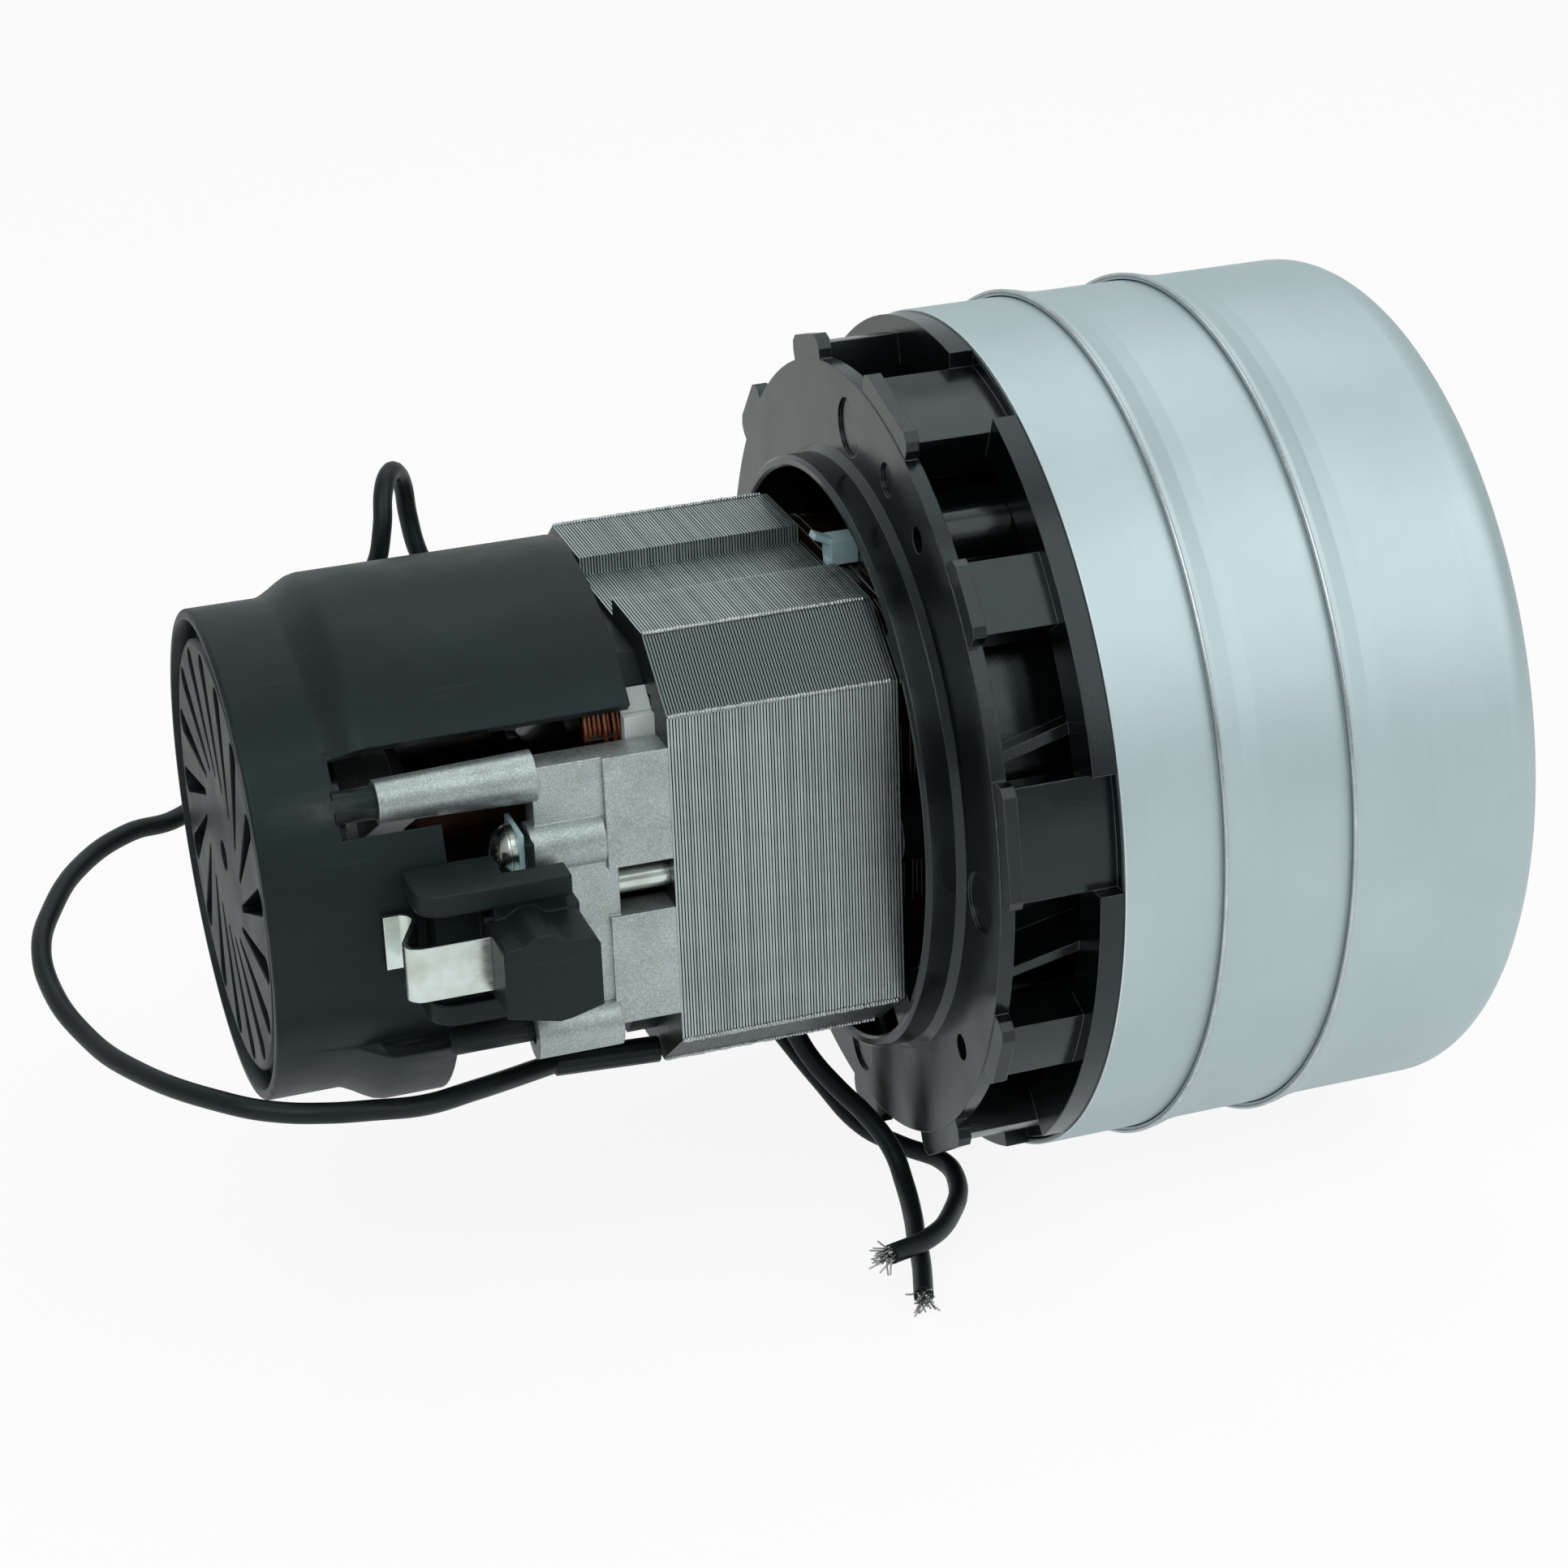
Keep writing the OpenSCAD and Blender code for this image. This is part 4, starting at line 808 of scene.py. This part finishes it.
COIL_HALF = 28.8
COIL_FOOT, COIL_KNEE = 6.0, 14.0
COIL_CORNER = 9
LEFT_TOP, LEFT_OUT, LEFT_IN = 31.5, 10.6, 0.3
RIGHT_TOP, RIGHT_IN, RIGHT_OUT = 35.4, 0.4, 8.2
WIRE_PITCH, WIRE_RADIUS = 0.78, 0.37
WIRE_POINTS, WIRE_SIDES = 44, 6
WAVER, WAVER_SCALE = 0.5, 90.0


def coil_outline(flip, top):
    """The coil end's outline in Y and Z with its corners rounded, for the upper or lower coil."""
    points = [(COIL_HALF, COIL_FOOT), (COIL_HALF, COIL_KNEE)]
    for angle in range(-30, 91, 10):
        a = math.radians(angle)
        points.append((COIL_HALF - COIL_CORNER + COIL_CORNER * math.cos(a),
                       top - COIL_CORNER + COIL_CORNER * math.sin(a)))
    points += [(-y, z) for y, z in reversed(points)]
    return [(0.0, y * flip, z * flip) for y, z in points]


def coil_wires(name, flip, top, start, end, enamel):
    """One layer of wavering wires between two stations of the shaft."""
    outline = coil_outline(flip, top)
    edges = [(i, i + 1) for i in range(len(outline) - 1)]
    tree = Pattern(name, rows=int((end - start) / WIRE_PITCH), pitch=WIRE_PITCH * MM, start=start * MM,
                   wire=WIRE_RADIUS * MM, waver=WAVER * MM, seed=5)
    turn = tree.node("GeometryNodeResampleCurve", {"Curve": tree.given_curve(), "Count": WIRE_POINTS})[0]
    size = tree.chance((1, 0.975, 0.975), (1, 1.0, 1.0), tree.value("seed"), "FLOAT_VECTOR")
    turns = tree.real(tree.copies(tree.row(tree.value("rows")), turn, Scale=size))
    place = tree.node("GeometryNodeInputPosition")[0]
    wave = tree.node("ShaderNodeTexNoise", {"Vector": place, "Scale": WAVER_SCALE, "Detail": 1.0})[1]
    wave = tree.node("ShaderNodeVectorMath", {0: wave, 1: (0.5, 0.5, 0.5)}, operation="SUBTRACT")[0]
    turns = tree.moved(turns, tree.scaled(wave, tree.value("waver")))
    wires = tree.wires(turns, tree.value("wire"), WIRE_SIDES)
    tree.make(name, plain_mesh(name, outline, edges), wires, enamel)


for flip, side in ((1, "top"), (-1, "bottom")):
    coil_wires("coil_wires_left_" + side, flip, LEFT_TOP, STACK_LEFT - LEFT_OUT, STACK_LEFT - LEFT_IN, copper)
    # The right-hand wires get the nearly black copper: painted shade.
    coil_wires("coil_wires_right_" + side, flip, RIGHT_TOP, STACK_RIGHT + RIGHT_IN, STACK_RIGHT + RIGHT_OUT,
               copper_painted_dark)


# Bare strands at the ends of the leads

STRANDS, STRAND_POINTS, STRAND_SIDES = 34, 7, 5
STRAND_REACH, STRAND_ROOT = 3.9, 1.2
STRAND_RADIUS, CORE_RADIUS, SPLAY = 0.15, 1.15, 2.3
GOLDEN_ANGLE = 2.39996


def lead_strands(name, route, seed):
    """Strands spread evenly over the core, each bent its own way towards its end."""
    points = placed(route)
    along = (points[-1] - points[-2]).normalized()
    tree = Pattern(name, strands=STRANDS, reach=STRAND_REACH * MM, strand=STRAND_RADIUS * MM,
                   core=CORE_RADIUS * MM, splay=SPLAY * MM, seed=seed)
    line = tree.node("GeometryNodeCurvePrimitiveLine", {"End": tree.vector(z=tree.value("reach"))})[0]
    line = tree.node("GeometryNodeResampleCurve", {"Curve": line, "Count": STRAND_POINTS})[0]
    spots = tree.node("GeometryNodeMeshLine", {"Count": tree.value("strands"), "Offset": (0, 0, 0)})[0]
    number = tree.node("GeometryNodeInputIndex")[0]
    angle = tree.math("MULTIPLY", number, GOLDEN_ANGLE)
    out = tree.math("SQRT", tree.math("DIVIDE", number, tree.value("strands")))
    out = tree.math("MULTIPLY", out, tree.value("core"))
    root = tree.vector(tree.math("MULTIPLY", out, tree.math("COSINE", angle)),
                       tree.math("MULTIPLY", out, tree.math("SINE", angle)), -STRAND_ROOT * MM)
    spots = tree.node("GeometryNodeSetPosition", {"Geometry": spots, "Position": root})[0]
    size = tree.chance((1, 1, 0.8), (1, 1, 1.12), tree.value("seed"), "FLOAT_VECTOR")
    bent = tree.chance((-1, -1, -0.35), (1, 1, 0.1), tree.value("seed"), "FLOAT_VECTOR")
    strands = tree.real(tree.marked(tree.copies(spots, line, Scale=size), "bent", bent, "FLOAT_VECTOR"))
    share = tree.node("GeometryNodeSplineParameter")[0]
    amount = tree.math("MULTIPLY", tree.math("MULTIPLY", share, share), tree.value("splay"))
    sway = tree.node("GeometryNodeInputNamedAttribute", {"Name": "bent"}, data_type="FLOAT_VECTOR")[0]
    strands = tree.moved(strands, tree.scaled(sway, amount))
    wires = tree.wires(strands, tree.value("strand"), STRAND_SIDES)
    piece = tree.make(name, plain_mesh(name, []), wires, tinned_wire, ["lead_tips"])
    turn = along.to_track_quat("Z", "Y").to_matrix()
    piece.data.transform(Matrix.Translation(points[-1]) @ turn.to_4x4())
    return piece


strands_long = lead_strands("strands_long", LONG_ROUTE, 3)
strands_short = lead_strands("strands_short", SHORT_ROUTE, 9)

for lead, route, node, strands in (
    (lead_long, LONG_ROUTE, "lead_long", strands_long),
    (lead_short, SHORT_ROUTE, "lead_short", strands_short),
):
    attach(lead, "housing")
    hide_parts(node)


# Burrs and a bright bead on the lips of the shells

BURR_SPOTS, BURR_SHARE = 420, 0.45
BURR_SIZE, BURR_INSET = 0.13, 0.15
LIP_BEAD, LIP_BEAD_INSET = 0.35, 0.1


def rim_burrs(name, x, seed):
    """Small flecks on some of the spots round a lip."""
    tree = Pattern(name, spots=BURR_SPOTS, radius=LIP_RADIUS * MM, size=BURR_SIZE * MM, share=BURR_SHARE,
                   seed=seed)
    rim = tree.node("GeometryNodeMeshCircle", {"Vertices": tree.value("spots"),
                                               "Radius": tree.value("radius")})[0]
    rim = tree.node("GeometryNodeTransform", {"Geometry": rim, "Rotation": (0, math.pi / 2, 0),
                                              "Translation": (x * MM, 0, 0)})[0]
    kept = tree.node("FunctionNodeCompare", {0: tree.chance(0.0, 1.0, tree.value("seed")),
                                             1: tree.value("share")},
                     data_type="FLOAT", operation="LESS_THAN")[0]
    fleck = tree.node("GeometryNodeMeshIcoSphere", {"Radius": tree.value("size"), "Subdivisions": 1})[0]
    size = tree.chance((0.5, 0.4, 0.4), (2.2, 1.6, 1.6), tree.math("ADD", tree.value("seed"), 1.0),
                       "FLOAT_VECTOR")
    burrs = tree.copies(rim, fleck, Selection=kept, Scale=size)
    tree.make(name, plain_mesh(name, []), burrs, zinc)


def lip_bead(name, x):
    """The smooth bright edge of a shell's lip, all round."""
    middle = LIP_RADIUS - LIP_BEAD / 2
    ring = [(x + LIP_BEAD * math.cos(a), middle + LIP_BEAD * math.sin(a))
            for a in map(math.radians, full_turn(45)[:-1])]
    piece = sector(name, ring, full_turn(2))
    piece.data.shade_smooth()
    settle(piece, bearing_steel)


for number, seam in enumerate(SEAMS):
    rim_burrs("rim_burrs_" + str(number + 1), seam + BURR_INSET, 20 + number)
    lip_bead("lip_bead_" + str(number + 1), seam + LIP_BEAD_INSET)


# Floor, light and backdrop, in metres

COOL = (0.915, 1.0, 1.0)
FLOOR_HALF = 4
FLOOR_GAP = 0.0003
FLOOR_TONE = (0.96, 0.88, 0.88)
FLOOR_WHITE = 0.9
FLOOR_FADE = 0.15
FLOOR_MIRRORED_BEHIND = 0.15
ROOM_LEVEL = 0.4
ROOM_FADE = 0.5
ROOM_MIRRORED_BEHIND = 0.5


class Backdrop(Shader):
    """A floor or a world that the camera sees white, and that the part mirrors in a cool white."""

    def __init__(self, owner):
        super().__init__(owner)
        self.tree.nodes.clear()
        self.seen = self.node("ShaderNodeLightPath").outputs

    def depth(self, coordinates, shape, start, end, first, last):
        """A value that goes from first to last between two places from front to back."""
        place = self.parts(self.node("ShaderNodeTexCoord").outputs[coordinates])
        fade = self.node("ShaderNodeMapRange", From_Min=start, From_Max=end, To_Min=first, To_Max=last)
        fade.interpolation_type = shape
        self.link(place["Y"], fade.inputs["Value"])
        return fade.outputs["Result"]

    def close(self, plain, white, share, output):
        """Mixes so much of the white shader into the plain one."""
        self.link(self.blend(self.seen["Is Camera Ray"], COOL, 1.0), white.inputs["Color"])
        mix = self.node("ShaderNodeMixShader")
        self.link(share, mix.inputs["Fac"])
        self.link(plain.outputs[0], mix.inputs[1])
        self.link(white.outputs[0], mix.inputs[2])
        self.link(mix.outputs[0], self.node(output).inputs["Surface"])


def pale_floor(z):
    """A matt floor that keeps the part's shadow. Its mirror image fades behind the part."""
    data = bpy.data.meshes.new("floor")
    half = FLOOR_HALF
    data.from_pydata([(-half, -half, z), (half, -half, z), (half, half, z), (-half, half, z)], [],
                     [(0, 1, 2, 3)])
    floor = added("floor", data)
    material = bpy.data.materials.new("floor")
    tree = Backdrop(material)
    front = tree.depth("Object", "LINEAR", -FLOOR_FADE, FLOOR_FADE, 1.0, FLOOR_MIRRORED_BEHIND)
    mirrored = tree.math("MULTIPLY", tree.seen["Is Glossy Ray"], front)
    share = tree.math("MULTIPLY", tree.math("MAXIMUM", tree.seen["Is Camera Ray"], mirrored), FLOOR_WHITE)
    matt = tree.node("ShaderNodeBsdfDiffuse", Color=opaque(FLOOR_TONE))
    tree.close(matt, tree.node("ShaderNodeEmission"), share, "ShaderNodeOutputMaterial")
    data.materials.append(material)


def white_world():
    """A dim room, with a paler mirror image behind the part, where the backdrop is."""
    world = bpy.data.worlds.new("studio")
    bpy.context.scene.world = world
    tree = Backdrop(world)
    behind = tree.depth("Generated", "SMOOTHSTEP", 0.0, ROOM_FADE, 0.0, ROOM_MIRRORED_BEHIND)
    mirrored = tree.math("MAXIMUM", tree.seen["Is Glossy Ray"], tree.seen["Is Transmission Ray"])
    mirrored = tree.math("MULTIPLY", mirrored, behind)
    share = tree.math("MAXIMUM", tree.seen["Is Camera Ray"], mirrored)
    room = tree.node("ShaderNodeBackground", Color=opaque(COOL), Strength=ROOM_LEVEL)
    tree.close(room, tree.node("ShaderNodeBackground"), share, "ShaderNodeOutputWorld")


def soft_lamp(name, place, aim, size, power):
    data = bpy.data.lights.new(name, "AREA")
    data.shape = "RECTANGLE"
    data.size, data.size_y = size
    data.energy = power
    data.color = COOL
    lamp = added(name, data)
    lamp.location = place
    lamp.rotation_euler = (Vector(aim) - Vector(place)).to_track_quat("-Z", "Y").to_euler()


pale_floor(cad_low.z - FLOOR_GAP)
white_world()
soft_lamp("key", place=(-0.65, -0.75, 0.95), aim=(-0.1, 0, 0), size=(0.9, 0.9), power=5.6)
soft_lamp("fill", place=(0.5, -0.62, 0.72), aim=(-0.05, 0, 0), size=(0.9, 1.2), power=4.8)
soft_lamp("top", place=(0.05, 0.35, 1.05), aim=(-0.1, 0, 0), size=(0.9, 0.9), power=2.4)

bpy.context.scene.view_settings.view_transform = "Standard"
